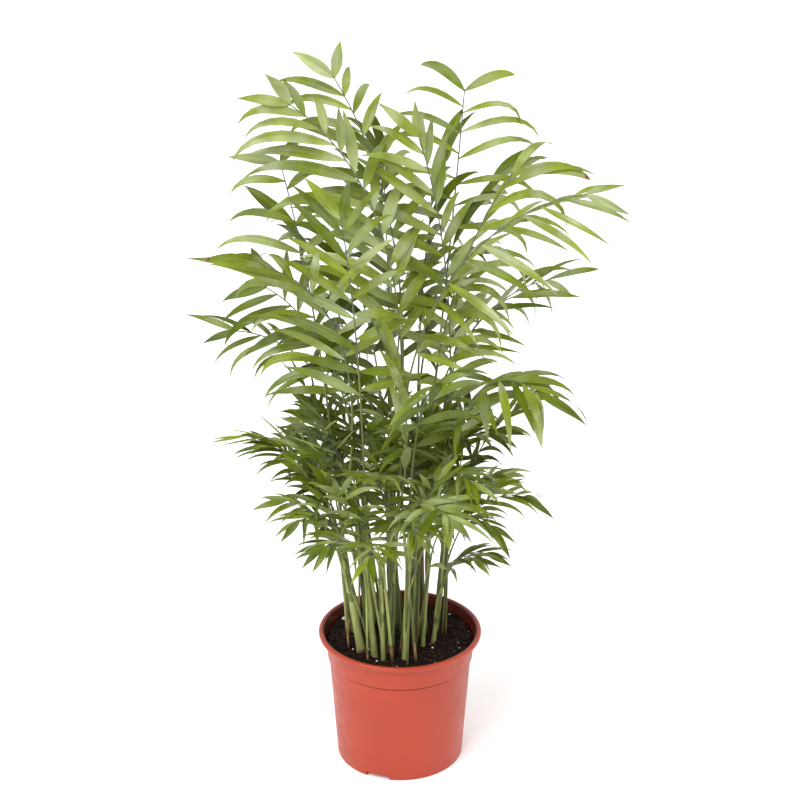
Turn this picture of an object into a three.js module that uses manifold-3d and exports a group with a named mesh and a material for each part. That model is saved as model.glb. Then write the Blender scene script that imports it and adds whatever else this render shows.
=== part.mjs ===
import * as THREE from 'three';
import { mergeVertices } from 'three/addons/utils/BufferGeometryUtils.js';
import Module from 'manifold-3d';

const wasm = await Module();
wasm.setup();

// A parlour palm in its nursery pot, in millimetres, +Z up.
// The origin is the centre of the pot's flat underside.

// Pot: a moulded 17 cm nursery pot with a rolled lip, a collar under it and a foot ring.
const POT_HEIGHT = 145;
const LIP_RADIUS = 85;
const LIP_HEIGHT = 6;
const LIP_INNER_RADIUS = 79.4;
const LIP_ROUND = 2;
const COLLAR_TOP_RADIUS = 78.6;
const COLLAR_FOOT_RADIUS = 75.8;
const COLLAR_HEIGHT = 24;
const BODY_TOP_RADIUS = 73.8;
const BODY_FOOT_RADIUS = 66.2;
const FOOT_ROUND = 1.5;
const POT_WALL = 2;
const COLLAR_STEP = 1;
const DRAIN_GROOVE = { inner: 51, outer: 57, depth: 5 };
const DRAIN_NOTCH = { count: 3, firstTurn: 249, width: 25, height: 5, bite: 1 };
const DRAIN_HOLE = { count: 6, radius: 2.5, sides: 8 };
const POT_SIDES = 30;

// Compost: fills the pot to a little below the lip.
const SOIL_TOP = 133;
const CLEARANCE = 0.3;

// Canes: where each stands on the compost, which way it leans and its size.
const CANE_SIDES = 7;
const CANE_FLARE = 1.22;
const FLARE_HEIGHT = 5;
const CANE_MIDDLE = 0.4;
const CANES = [
  { x: -40, y: -26, turn: 190, tilt: 9, length: 142, foot: 4.6, tip: 2.4 },
  { x: -49, y: 14, turn: 160, tilt: 6, length: 120, foot: 2.2, tip: 1.3 },
  { x: -33, y: 8, turn: 170, tilt: 5, length: 140, foot: 2.3, tip: 1.3 },
  { x: -26, y: -36, turn: 200, tilt: 5, length: 130, foot: 3.4, tip: 1.7 },
  { x: -17, y: -44, turn: 250, tilt: 3, length: 120, foot: 2.3, tip: 1.3 },
  { x: -9, y: -31, turn: 300, tilt: 3, length: 120, foot: 2.4, tip: 1.3 },
  { x: -9, y: -12, turn: 100, tilt: 2, length: 160, foot: 3.4, tip: 1.8 },
  { x: 5, y: -45, turn: 300, tilt: 3, length: 130, foot: 3.0, tip: 1.6 },
  { x: 16, y: 7, turn: 60, tilt: 3, length: 165, foot: 4.0, tip: 2.0 },
  { x: 24, y: -13, turn: 10, tilt: 3, length: 130, foot: 2.2, tip: 1.3 },
  { x: 35, y: -9, turn: 350, tilt: 5, length: 120, foot: 2.4, tip: 1.3 },
  { x: 12, y: 38, turn: 70, tilt: 4, length: 160, foot: 3.2, tip: 1.7 },
  { x: -7, y: 30, turn: 110, tilt: 4, length: 160, foot: 3.2, tip: 1.7 },
  { x: 38, y: 16, turn: 20, tilt: 6, length: 130, foot: 2.6, tip: 1.4 },
  { x: -28, y: 36, turn: 140, tilt: 6, length: 140, foot: 2.6, tip: 1.4 },
];

// Fronds. Each rises from a cane at a height, in the upright plane of its turn. Its rib leaves the
// cane at the angle lean from upright, and bends over to the angle nod at its tip. The higher its
// bend, the later it bends. Its blade is rolled about the rib, and the leaflets grow past bare.
const FROND_BEND = 2;
const FROND_BARE = 0.48;
const FRONDS = [
  {
    cane: 7, at: 150, turn: 153, length: 458, lean: -6, nod: 36, roll: -62, lift: -27, bow: 72,
    spread: 62, spreadTip: 36, leaflet: 103, fall: 1.2, right: 0.62,
  },
  {
    cane: 6, at: 110, turn: 173, length: 500, lean: -3, nod: 58, bend: 3, roll: -64, lift: -28, bow: 66,
    spread: 52, spreadTip: 24, leaflet: 118, fall: 1.3, right: 0.6,
  },
  {
    cane: 2, at: 110, turn: 177, length: 406, lean: 5, nod: 14, roll: -64, lift: -20, bow: 85,
    spreadTip: 58, leaflet: 86, fall: 1, right: 0.72,
  },
  {
    cane: 4, at: 120, turn: 246, length: 372, lean: 3, nod: 18, bow: 26, spread: 70, spreadTip: 22,
    leaflet: 84,
  },
  {
    cane: 1, at: 140, turn: 216, length: 336, lean: -10, nod: 68, bend: 2, roll: 20, bow: 34, spread: 60,
    leaflet: 104, bare: 0.55, spreadTip: 10, lift: 2, width: 0.85,
  },
  {
    cane: 9, at: 160, turn: 33, length: 418, lean: 7, nod: 5, roll: 60, bow: 112, spread: 80,
    spreadTip: 52, leaflet: 102, fall: 1.2, width: 0.7,
  },
  {
    cane: 11, at: 110, turn: 217, length: 445, lean: -4, nod: 21, roll: 78, lift: 28, bow: 36, spread: 62,
    spreadTip: 30, leaflet: 102, fall: 1.3, left: 0.62,
  },
  {
    cane: 10, at: 120, turn: 12, length: 398, lean: 0, nod: 36, roll: -5, lift: -26, bow: 108, spread: 52,
    spreadTip: 42, leaflet: 112, left: 0.7, fall: 0.1, width: 0.74,
  },
  {
    cane: 8, at: 120, turn: 353, length: 462, lean: -4, nod: 80, roll: 18, lift: -28, bow: 34, spread: 76,
    spreadTip: 30, leaflet: 98, fall: 1.2, left: 0.84, right: 0.9, width: 0.8,
  },
  {
    cane: 11, at: 115, turn: 322, length: 262, lean: 5, nod: 122, bend: 3.5, roll: 10, lift: -20, bow: 64,
    spacing: 24, leaflet: 88, right: 0.95,
  },
  {
    cane: 14, at: 126, turn: 16, length: 290, lean: -3, nod: 94, bend: 3, lift: -18, bow: 30, leaflet: 74,
    spreadTip: 18, width: 0.8,
  },
  {
    cane: 5, at: 110, turn: 143, length: 242, lean: -17, nod: 26, leaflet: 84, roll: 40, bow: 30,
    spread: 46, width: 1.15,
  },
  { cane: 9, at: 120, turn: 8, length: 233, lean: 9, nod: 11, leaflet: 70, roll: -50, bow: 60 },
  { cane: 8, at: 127, turn: 286, length: 262, lean: 5, nod: 66, bow: 60, leaflet: 71, roll: 20 },
  { cane: 3, at: 135, turn: 146, length: 275, lean: 2, nod: 76, leaflet: 84, roll: -45, bow: 70 },
  { cane: 13, at: 155, turn: 95, length: 358, lean: 2, nod: 50, leaflet: 88, roll: 70, bow: 60 },
  { cane: 12, at: 155, turn: 55, length: 345, lean: 2, nod: 74, leaflet: 88, roll: -60, bow: 70 },
  { cane: 15, at: 135, turn: 130, length: 330, lean: 2, nod: 74, leaflet: 88, roll: 55, bow: 60 },
  { cane: 13, at: 120, turn: 84, length: 306, lean: 4, nod: 100, leaflet: 82, roll: -30, bow: 80 },
  { cane: 15, at: 110, turn: 168, length: 276, lean: 4, nod: 92, leaflet: 82, roll: 60, bow: 60 },
  { cane: 12, at: 120, turn: 28, length: 310, lean: 5, nod: 90, leaflet: 82, roll: -50, bow: 60 },
  { cane: 13, at: 100, turn: 118, length: 270, lean: 6, nod: 112, leaflet: 74, roll: 25, bow: 80 },
  { cane: 9, at: 140, turn: 75, length: 368, lean: -3, nod: 44, leaflet: 86, roll: -70, bow: 60 },
  { cane: 7, at: 130, turn: 112, length: 330, lean: 2, nod: 84, leaflet: 84, roll: 45, bow: 70 },
];

// Low fronds: short ones whose stalks leave their cane in ones and twos from one foot.
const LOW_FRONDS = [
  { cane: 14, at: 95, fronds: [{ turn: 2, length: 190, lean: 10, nod: 56 }] },
  { cane: 12, at: 105, fronds: [{ turn: 328, length: 170, lean: 12, nod: 80, bow: 62, leaflet: 60 }] },
  { cane: 12, at: 85, fronds: [{ turn: 70, length: 170, lean: 16, nod: 110 }] },
  { cane: 8, at: 85, fronds: [{ turn: 350, length: 146, lean: 15, nod: 72, bow: 12 }] },
  {
    cane: 8, at: 105,
    fronds: [{ turn: 295, length: 150, lean: 12, nod: 104, leaflet: 74, bow: 60, width: 0.85 }],
  },
  { cane: 10, at: 85, fronds: [{ turn: 337, length: 116, lean: 6, nod: 130 }] },
  {
    cane: 11, at: 60,
    fronds: [
      { turn: 345, length: 76, lean: 14, nod: 100, leaflet: 46 },
      { turn: 310, length: 84, lean: 16, nod: 90 },
    ],
  },
  {
    cane: 3, at: 105,
    fronds: [
      { turn: 188, length: 185, lean: 16, nod: 92, bow: 10, spreadTip: 10, width: 0.3, leaflet: 58 },
      { turn: 236, length: 140, lean: 8, nod: 62 },
    ],
  },
  {
    cane: 2, at: 90,
    fronds: [{ turn: 176, length: 150, lean: 16, nod: 60 }, { turn: 150, length: 150, lean: 18, nod: 95 }],
  },
  {
    cane: 1, at: 100,
    fronds: [
      { turn: 197, length: 106, lean: 14, nod: 76, bow: 60, spreadTip: 14, leaflet: 60 },
      { turn: 232, length: 116, lean: 14, nod: 96 },
    ],
  },
  {
    cane: 5, at: 85,
    fronds: [
      { turn: 222, length: 106, lean: 16, nod: 100 },
      { turn: 262, length: 120, lean: 14, nod: 110 },
    ],
  },
  { cane: 6, at: 85, fronds: [{ turn: 287, length: 135, lean: 6, nod: 110 }] },
  { cane: 4, at: 80, fronds: [{ turn: 215, length: 92, lean: 8, nod: 100 }] },
  { cane: 13, at: 85, fronds: [{ turn: 100, length: 150, lean: 16, nod: 100 }] },
  {
    cane: 15, at: 90,
    fronds: [{ turn: 110, length: 140, lean: 16, nod: 105 }, { turn: 160, length: 150, lean: 16, nod: 95 }],
  },
  {
    cane: 14, at: 75,
    fronds: [{ turn: 45, length: 120, lean: 16, nod: 100 }, { turn: 10, length: 125, lean: 16, nod: 115 }],
  },
  {
    cane: 9, at: 100,
    fronds: [{ turn: 300, length: 170, lean: 12, nod: 100 }, { turn: 258, length: 160, lean: 6, nod: 60 }],
  },
  { cane: 7, at: 110, fronds: [{ turn: 262, length: 136, lean: 8, nod: 74 }] },
];

// Ribs: three-sided rods, drawn out in steps, that keep these gaps from one another.
const RIB_SIDES = 3;
const RIB_STEPS = 8;
const RIB_FOOT = 1.5;
const LOW_RIB_FOOT = 1.1;
const RIB_TIP = 1.1;
const RIB_GAP = 0.7;
const OWN_GAP = 0.25;
const GAP_SHARES = [0, 0.25, 0.5, 0.75, 1];
const TURN_STEP = 2;
const TURN_TRIES = 12;
const SEATING_PASSES = 4;
const SEATING_REACH = 5;

// Leaflets: pairs a spacing apart. A waver is how far a size may stray either way.
const LEAFLET_SPACING = 39;
// The width is that of a leaflet of the usual length, and grows with the root of the length.
const LEAFLET_WIDTH = 13;
const USUAL_LENGTH = 80;
const LEAFLET_THICKNESS = 1;
const LEAFLET_ROOT = { half: 1, thickness: 0.6 };
const LEAFLET_BELLY = 0.48;
const LEAFLET_SPREAD = { foot: 72, tip: 32, waver: 5 };
const LEAFLET_LIFT = -6;
const LEAFLET_GAP = 0.4;
const LAST_PAIR = 0.99;
// The pairs crowd towards the tip of the blade, and the last one is shorter, broader and straighter.
// It also differs less from hand to hand, by this power of the others' share.
const CROWDING = 0.2;
const TERMINAL = { length: 0.91, width: 1.4, bow: 0.45, handPower: 0.5 };
// The share by which a leaflet turns the nearer of its faces to the light.
const LIGHT_SIDE = new THREE.Vector3(0, -0.8, 0.6);
const FACING = 0.6;
// The longest leaflets of a frond stand at this share of its blade, and the rest fall off from them.
const LONGEST = { share: 0.4, fall: 0.7, waver: 0.08 };
// A leaflet bends over by this angle on its way, ever more, but never past hanging.
const BOW = { angle: 78, waver: 0.3, power: 2.3, hanging: 172, steps: 8 };
const LOW_SPACING = 33;
const LOW_BLADE = { bare: 0.4, leaflet: 54, width: 0.7, bow: 40, spread: 56, spreadTip: 20 };
// The counts that keep the wavers of one frond, and of one size, apart from the rest.
const SIZE_COUNT = 50;
const BOW_COUNT = 100;
const LOW_SEED = { first: 40, step: 3 };
const FINEST_DETAIL = 0.12;
// A leaflet that would touch something is tried at these other lifts and sizes, and then skipped.
const LEAFLET_TRIES = [
  { lift: 0, size: 1 },
  { lift: 14, size: 1 },
  { lift: -14, size: 1 },
  { lift: 26, size: 0.9 },
  { lift: -26, size: 0.9 },
  { lift: 38, size: 0.75 },
  { lift: -38, size: 0.75 },
];

// Colours and finishes.
const POT_FINISH = { color: 0xc8553b, roughness: 0.42 };
const SOIL_FINISH = { color: 0x1d1512, roughness: 0.95 };
const CANE_FINISH = { color: 0x86a05a, roughness: 0.55 };
const FROND_FINISH = { color: 0x6d9434, roughness: 0.45 };
const LOW_FINISH = { color: 0x4f7329, roughness: 0.45 };

const UP = new THREE.Vector3(0, 0, 1);

function radians(degrees) {
  return THREE.MathUtils.degToRad(degrees);
}

// A level unit vector at a turn from +X.
function heading(turn) {
  return new THREE.Vector3(Math.cos(radians(turn)), Math.sin(radians(turn)), 0);
}

// A repeatable number from -1 to 1 for a pair of counts.
function wobble(first, second) {
  const wave = Math.sin(first * 12.9898 + second * 78.233) * 43758.5453;
  return 2 * (wave - Math.floor(wave)) - 1;
}

function solidFrom(geometry) {
  geometry.deleteAttribute('normal');
  geometry.deleteAttribute('uv');
  const merged = mergeVertices(geometry);
  return new wasm.Manifold(new wasm.Mesh({
    numProp: 3,
    vertProperties: merged.attributes.position.array,
    triVerts: new Uint32Array(merged.index.array),
  }));
}

// A solid turned about +Z from an outline of [radius, height] that starts and ends on the axis.
function turned(outline, sides) {
  const geometry = new THREE.LatheGeometry(outline.map(([r, z]) => new THREE.Vector2(r, z)), sides);
  geometry.rotateX(Math.PI / 2);
  return solidFrom(geometry);
}

// A closed body between two poles, with rings of corners between them that place(ring, corner) puts.
function drawnOut(corners, rings, place) {
  const geometry = new THREE.SphereGeometry(1, corners, rings + 1);
  const position = geometry.attributes.position;
  for (let i = 0; i < position.count; i += 1) {
    const ring = Math.floor(i / (corners + 1));
    const corner = (i % (corners + 1)) % corners;
    const point = place(ring, corner);
    position.setXYZ(i, point.x, point.y, point.z);
  }
  return solidFrom(geometry);
}

function meshOf(name, solid, finish) {
  const { vertProperties, triVerts } = solid.getMesh();
  const geometry = new THREE.BufferGeometry();
  geometry.setAttribute('position', new THREE.BufferAttribute(new Float32Array(vertProperties), 3));
  geometry.setIndex(new THREE.BufferAttribute(new Uint32Array(triVerts), 1));
  geometry.computeVertexNormals();
  const mesh = new THREE.Mesh(geometry, new THREE.MeshStandardMaterial({ metalness: 0, ...finish }));
  mesh.name = name;
  return mesh;
}

// Heights and radii of the pot that its wall and the compost share.
const collarFoot = POT_HEIGHT - LIP_HEIGHT - COLLAR_HEIGHT;
const grooveTop = DRAIN_GROOVE.depth + POT_WALL;
const bodySlope = (BODY_TOP_RADIUS - BODY_FOOT_RADIUS) / collarFoot;
const collarSlope = (COLLAR_TOP_RADIUS - COLLAR_FOOT_RADIUS) / COLLAR_HEIGHT;
const innerFootRadius = BODY_FOOT_RADIUS + bodySlope * grooveTop - POT_WALL;
const innerBodyTop = BODY_TOP_RADIUS - POT_WALL;
const innerCollarFoot = COLLAR_FOOT_RADIUS - POT_WALL;

function pot() {
  const lipFoot = POT_HEIGHT - LIP_HEIGHT;
  const outline = [
    [0, 0],
    [DRAIN_GROOVE.inner, 0],
    [DRAIN_GROOVE.inner, DRAIN_GROOVE.depth],
    [DRAIN_GROOVE.outer, DRAIN_GROOVE.depth],
    [DRAIN_GROOVE.outer, 0],
    [BODY_FOOT_RADIUS - FOOT_ROUND, 0],
    [BODY_FOOT_RADIUS, FOOT_ROUND],
    [BODY_TOP_RADIUS, collarFoot - COLLAR_STEP],
    [COLLAR_FOOT_RADIUS, collarFoot],
    [COLLAR_TOP_RADIUS, lipFoot],
    [LIP_RADIUS - LIP_ROUND / 2, lipFoot],
    [LIP_RADIUS, lipFoot + LIP_ROUND],
    [LIP_RADIUS, POT_HEIGHT - LIP_ROUND],
    [LIP_RADIUS - LIP_ROUND, POT_HEIGHT],
    [LIP_INNER_RADIUS + LIP_ROUND, POT_HEIGHT],
    [LIP_INNER_RADIUS, POT_HEIGHT - LIP_ROUND],
    [COLLAR_TOP_RADIUS - POT_WALL, lipFoot],
    [innerCollarFoot, collarFoot],
    [innerBodyTop, collarFoot - POT_WALL],
    [innerFootRadius, grooveTop],
    [DRAIN_GROOVE.inner - POT_WALL, grooveTop],
    [DRAIN_GROOVE.inner - POT_WALL, POT_WALL],
    [0, POT_WALL],
  ];
  let body = turned(outline, POT_SIDES);
  for (let i = 0; i < DRAIN_NOTCH.count; i += 1) {
    const turn = radians(DRAIN_NOTCH.firstTurn + (360 / DRAIN_NOTCH.count) * i);
    const reach = (BODY_FOOT_RADIUS - DRAIN_GROOVE.outer) * 2;
    const notch = new THREE.BoxGeometry(reach, DRAIN_NOTCH.width, DRAIN_NOTCH.height * 2);
    notch.translate(DRAIN_GROOVE.outer + reach / 2 - DRAIN_NOTCH.bite, 0, 0);
    notch.rotateZ(turn);
    body = body.subtract(solidFrom(notch));
  }
  for (let i = 0; i < DRAIN_HOLE.count; i += 1) {
    const turn = radians((360 / DRAIN_HOLE.count) * i);
    const hole = new THREE.CylinderGeometry(
      DRAIN_HOLE.radius, DRAIN_HOLE.radius, POT_WALL * 2, DRAIN_HOLE.sides);
    hole.rotateX(Math.PI / 2);
    hole.translate((DRAIN_GROOVE.inner + DRAIN_GROOVE.outer) / 2, 0, DRAIN_GROOVE.depth + POT_WALL / 2);
    hole.rotateZ(turn);
    body = body.subtract(solidFrom(hole));
  }
  return body;
}

function compost() {
  const hollow = DRAIN_GROOVE.inner - POT_WALL;
  return turned([
    [0, POT_WALL + CLEARANCE],
    [hollow - CLEARANCE, POT_WALL + CLEARANCE],
    [hollow - CLEARANCE, grooveTop + CLEARANCE],
    [innerFootRadius - CLEARANCE, grooveTop + CLEARANCE],
    [innerBodyTop - CLEARANCE, collarFoot - POT_WALL],
    [innerCollarFoot - CLEARANCE, collarFoot],
    [innerCollarFoot + collarSlope * (SOIL_TOP - collarFoot) - CLEARANCE, SOIL_TOP],
    [0, SOIL_TOP],
  ], POT_SIDES);
}

function caneAxis(cane) {
  return UP.clone().multiplyScalar(Math.cos(radians(cane.tilt)))
    .addScaledVector(heading(cane.turn), Math.sin(radians(cane.tilt)));
}

function canePoint(cane, height) {
  return new THREE.Vector3(cane.x, cane.y, SOIL_TOP + CLEARANCE).addScaledVector(caneAxis(cane), height);
}

function caneRadius(cane, height) {
  return THREE.MathUtils.lerp(cane.foot, cane.tip, Math.min(1, height / cane.length));
}

// A cane tapers from a flat, flared foot, with level rings, to a blunt tip.
function caneSolid(cane) {
  const heights = [0, FLARE_HEIGHT, cane.length * CANE_MIDDLE, cane.length];
  return drawnOut(CANE_SIDES, heights.length, (ring, corner) => {
    const step = Math.min(Math.max(ring - 1, 0), heights.length - 1);
    const centre = canePoint(cane, heights[step]);
    if (ring === 0 || ring > heights.length) {
      return centre;
    }
    const radius = step === 0 ? cane.foot * CANE_FLARE : caneRadius(cane, heights[step]);
    return centre.addScaledVector(heading(-(360 / CANE_SIDES) * corner), radius);
  });
}

// The points of a rib from its foot, each with the rib's direction, its side and its upper face.
function ribPath(foot, frond, turn) {
  const out = heading(turn);
  const across = UP.clone().cross(out);
  const { lean, nod, length, bend = FROND_BEND, roll = 0 } = frond;
  const point = foot.clone();
  const path = [];
  for (let step = 0; step <= RIB_STEPS; step += 1) {
    const angle = radians(lean + (nod - lean) * (step / RIB_STEPS) ** bend);
    const along = UP.clone().multiplyScalar(Math.cos(angle)).addScaledVector(out, Math.sin(angle));
    const upper = along.clone().cross(across);
    const side = across.clone().applyAxisAngle(along, radians(roll));
    path.push({ point: point.clone(), along, side, upper: upper.applyAxisAngle(along, radians(roll)) });
    const next = radians(lean + (nod - lean) * ((step + 0.5) / RIB_STEPS) ** bend);
    point.addScaledVector(UP, (Math.cos(next) * length) / RIB_STEPS);
    point.addScaledVector(out, (Math.sin(next) * length) / RIB_STEPS);
  }
  return path;
}

// The point, direction, side and upper face of a rib at a share of its length.
function ribAt(path, share) {
  const step = Math.min(Math.floor(share * RIB_STEPS), RIB_STEPS - 1);
  const between = share * RIB_STEPS - step;
  const mixed = {};
  for (const key of ['point', 'along', 'side', 'upper']) {
    mixed[key] = path[step][key].clone().lerp(path[step + 1][key], between);
  }
  return mixed;
}

function ribRadius(ribFoot, share) {
  return THREE.MathUtils.lerp(ribFoot, RIB_TIP, share);
}

function ribSolid(path, ribFoot) {
  return drawnOut(RIB_SIDES, RIB_STEPS + 1, (ring, corner) => {
    const step = Math.min(Math.max(ring - 1, 0), RIB_STEPS);
    const { point, side, upper } = path[step];
    if (ring === 0 || ring > RIB_STEPS + 1) {
      return point.clone();
    }
    const angle = radians(90 - (360 / RIB_SIDES) * corner);
    const radius = ribRadius(ribFoot, step / RIB_STEPS);
    return point.clone().addScaledVector(side, Math.cos(angle) * radius)
      .addScaledVector(upper, Math.sin(angle) * radius);
  });
}

// The gap between two tapered stretches, each from one point with a radius to the next.
function stretchGap(from, to, start, end) {
  const line = new THREE.Line3(start.point, end.point);
  const nearest = new THREE.Vector3();
  let gap = Infinity;
  for (const share of GAP_SHARES) {
    const point = from.point.clone().lerp(to.point, share);
    const along = line.closestPointToPointParameter(point, true);
    line.at(along, nearest);
    const radii = THREE.MathUtils.lerp(from.radius, to.radius, share)
      + THREE.MathUtils.lerp(start.radius, end.radius, along);
    gap = Math.min(gap, point.distanceTo(nearest) - radii);
  }
  return gap;
}

// Whether a rod clears another by a gap; a rod is a list of points with a radius at each.
function rodsClear(rod, other, gap) {
  for (let i = 1; i < rod.length; i += 1) {
    for (let j = 1; j < other.length; j += 1) {
      if (stretchGap(rod[i - 1], rod[i], other[j - 1], other[j]) < gap) {
        return false;
      }
    }
  }
  return true;
}

// The foot of the ribs that leave a cane at one height, on the side to which they part from it. It is
// slid up to the cane until the clearance is left.
function ribFootPoint(cane, height, fronds, ribFoot) {
  const parting = new THREE.Vector3();
  for (const { turn, lean } of fronds) {
    parting.addScaledVector(heading(turn), Math.tan(radians(lean)) / fronds.length);
  }
  parting.addScaledVector(heading(cane.turn), -Math.tan(radians(cane.tilt))).normalize();
  const foot = canePoint(cane, height).addScaledVector(parting, caneRadius(cane, height) + ribFoot);
  const body = caneSolid(cane);
  for (let pass = 0; pass < SEATING_PASSES; pass += 1) {
    const ribs = fronds.map((frond) => ribSolid(ribPath(foot, frond, frond.turn), ribFoot));
    const gap = wasm.Manifold.union(ribs).minGap(body, SEATING_REACH);
    foot.addScaledVector(parting, CLEARANCE - gap);
  }
  return foot;
}

// The rib of a frond, turned a little where it would touch a rod that already stands.
function settledRib(foot, frond, ribFoot, others) {
  for (let attempt = 0; attempt < TURN_TRIES * 2; attempt += 1) {
    const sign = attempt % 2 === 0 ? 1 : -1;
    const path = ribPath(foot, frond, frond.turn + sign * TURN_STEP * Math.ceil(attempt / 2));
    const rod = path.map(({ point }, step) => ({ point, radius: ribRadius(ribFoot, step / RIB_STEPS) }));
    const clear = others.every((other) => (
      rodsClear(rod, other.rod, other.cane === frond.cane ? OWN_GAP : RIB_GAP)));
    if (clear) {
      return { path, rod };
    }
  }
  throw new Error(`No clear turn for the frond at ${frond.turn} on cane ${frond.cane}.`);
}

// The point at a share of a leaflet's length, as it bends over from its first direction.
function spineAt(root, out, length, bow, share) {
  const level = new THREE.Vector3(out.x, out.y, 0).normalize();
  const start = Math.acos(out.z);
  const most = Math.max(radians(BOW.hanging), start);
  const stretch = (length * share) / BOW.steps;
  const point = root.clone();
  for (let step = 0; step < BOW.steps; step += 1) {
    const angle = Math.min(start + radians(bow) * ((share * (step + 0.5)) / BOW.steps) ** BOW.power, most);
    point.addScaledVector(UP, Math.cos(angle) * stretch).addScaledVector(level, Math.sin(angle) * stretch);
  }
  return point;
}

// How far a leaflet turns on its stalk to bring the nearer of its faces part of the way to the light.
function facingTurn(out, along) {
  const width = along.clone().projectOnPlane(out).normalize();
  const face = width.cross(out);
  const wanted = LIGHT_SIDE.clone().projectOnPlane(out);
  const turn = Math.atan2(face.clone().cross(wanted).dot(out), face.dot(wanted));
  return FACING * (THREE.MathUtils.euclideanModulo(turn + Math.PI / 2, Math.PI) - Math.PI / 2);
}

// A leaflet: three-sided, narrow where it leaves the rib, widest at its belly, and pointed. The
// margin makes it that much fatter all over, for testing that it is clear of things.
function leafletSolid(root, out, along, { length, half, bow }, margin) {
  const rings = [
    { centre: root.clone(), half: LEAFLET_ROOT.half, thickness: LEAFLET_ROOT.thickness },
    { centre: spineAt(root, out, length, bow, LEAFLET_BELLY), half, thickness: LEAFLET_THICKNESS },
  ];
  const end = spineAt(root, out, length, bow, 1).addScaledVector(out, margin);
  const start = root.clone().addScaledVector(out, -LEAFLET_ROOT.thickness / 2);
  const forward = end.clone().sub(root).normalize();
  const width = along.clone().projectOnPlane(forward).normalize()
    .applyAxisAngle(forward, facingTurn(out, along));
  const face = width.clone().cross(forward);
  return drawnOut(3, rings.length, (ring, corner) => {
    if (ring === 0 || ring > rings.length) {
      return (ring === 0 ? start : end).clone();
    }
    const { centre } = rings[ring - 1];
    const thickness = rings[ring - 1].thickness + 2 * margin;
    if (corner === 0) {
      return centre.clone().addScaledVector(face, thickness * (2 / 3));
    }
    const reach = rings[ring - 1].half + margin;
    return centre.clone().addScaledVector(width, corner === 1 ? -reach : reach)
      .addScaledVector(face, -thickness / 3);
  });
}

// The size of a leaflet: how long it is, half its width and how far it bends over.
function leafletSize(frond, index, share, hand, last) {
  const { seed, fall = LONGEST.fall, width = 1, bow = BOW.angle, left = 1, right = 1 } = frond;
  const full = frond.leaflet * (1 - fall * (share - LONGEST.share) ** 2)
    * (1 + LONGEST.waver * wobble(seed, index + SIZE_COUNT));
  const drawn = (hand > 0 ? left : right) ** (last ? TERMINAL.handPower : 1);
  const half = (LEAFLET_WIDTH / 2) * width * Math.sqrt(full / USUAL_LENGTH);
  const bend = bow * (1 + BOW.waver * wobble(seed, index + BOW_COUNT));
  return {
    length: full * drawn * (last ? TERMINAL.length : 1),
    half: half * (last ? TERMINAL.width : 1),
    bow: bend * (last ? TERMINAL.bow : 1),
  };
}

function boxOf(solid) {
  const { min, max } = solid.boundingBox();
  return new THREE.Box3(new THREE.Vector3(...min), new THREE.Vector3(...max));
}

// The leaflets of a frond, in pairs up its blade. One that would touch an obstacle is tried at other
// lifts and sizes, and skipped where none is clear.
function leaflets(frond, path, obstacles) {
  const bladeLength = frond.length * (1 - frond.bare);
  const pairs = Math.max(2, Math.round(bladeLength / frond.spacing));
  const placed = [];
  for (let index = 0; index < pairs * 2; index += 1) {
    const pair = Math.floor(index / 2);
    const hand = index % 2 === 0 ? 1 : -1;
    const last = pair === pairs - 1;
    const share = pair / (pairs - 1);
    const crowded = share * (1 + CROWDING * (1 - share));
    const rib = ribAt(path, frond.bare + (1 - frond.bare) * Math.min(crowded, LAST_PAIR));
    const { spread = LEAFLET_SPREAD.foot, spreadTip = LEAFLET_SPREAD.tip } = frond;
    const turn = radians(THREE.MathUtils.lerp(spread, spreadTip, share ** 2)
      + LEAFLET_SPREAD.waver * wobble(frond.seed, index));
    const size = leafletSize(frond, index, share, hand, last);
    for (const attempt of LEAFLET_TRIES) {
      const lift = radians((frond.lift ?? LEAFLET_LIFT) + attempt.lift);
      const out = rib.along.clone().multiplyScalar(Math.cos(turn))
        .addScaledVector(rib.side, hand * Math.sin(turn) * Math.cos(lift))
        .addScaledVector(rib.upper, Math.sin(turn) * Math.sin(lift))
        .normalize();
      const tried = { ...size, length: size.length * attempt.size };
      const make = (margin) => leafletSolid(rib.point, out, rib.along, tried, margin);
      const tested = make(LEAFLET_GAP);
      const box = boxOf(tested);
      const clear = obstacles.every((other) => !box.intersectsBox(other.box)
        || tested.intersect(other.solid).isEmpty());
      if (clear) {
        placed.push(make(0));
        break;
      }
    }
  }
  return placed;
}

const group = new THREE.Group();
const rods = [];
const obstacles = [];

function standing(solid) {
  obstacles.push({ solid, box: boxOf(solid) });
  return solid;
}

group.add(meshOf('pot', standing(pot()), POT_FINISH));
group.add(meshOf('compost', standing(compost()), SOIL_FINISH));
CANES.forEach((cane, index) => {
  group.add(meshOf(`cane_${index + 1}`, standing(caneSolid(cane)), CANE_FINISH));
  const rod = [0, cane.length].map((height) => (
    { point: canePoint(cane, height), radius: caneRadius(cane, height) }));
  rods.push({ rod, cane: index + 1, ribbed: false });
});
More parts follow.
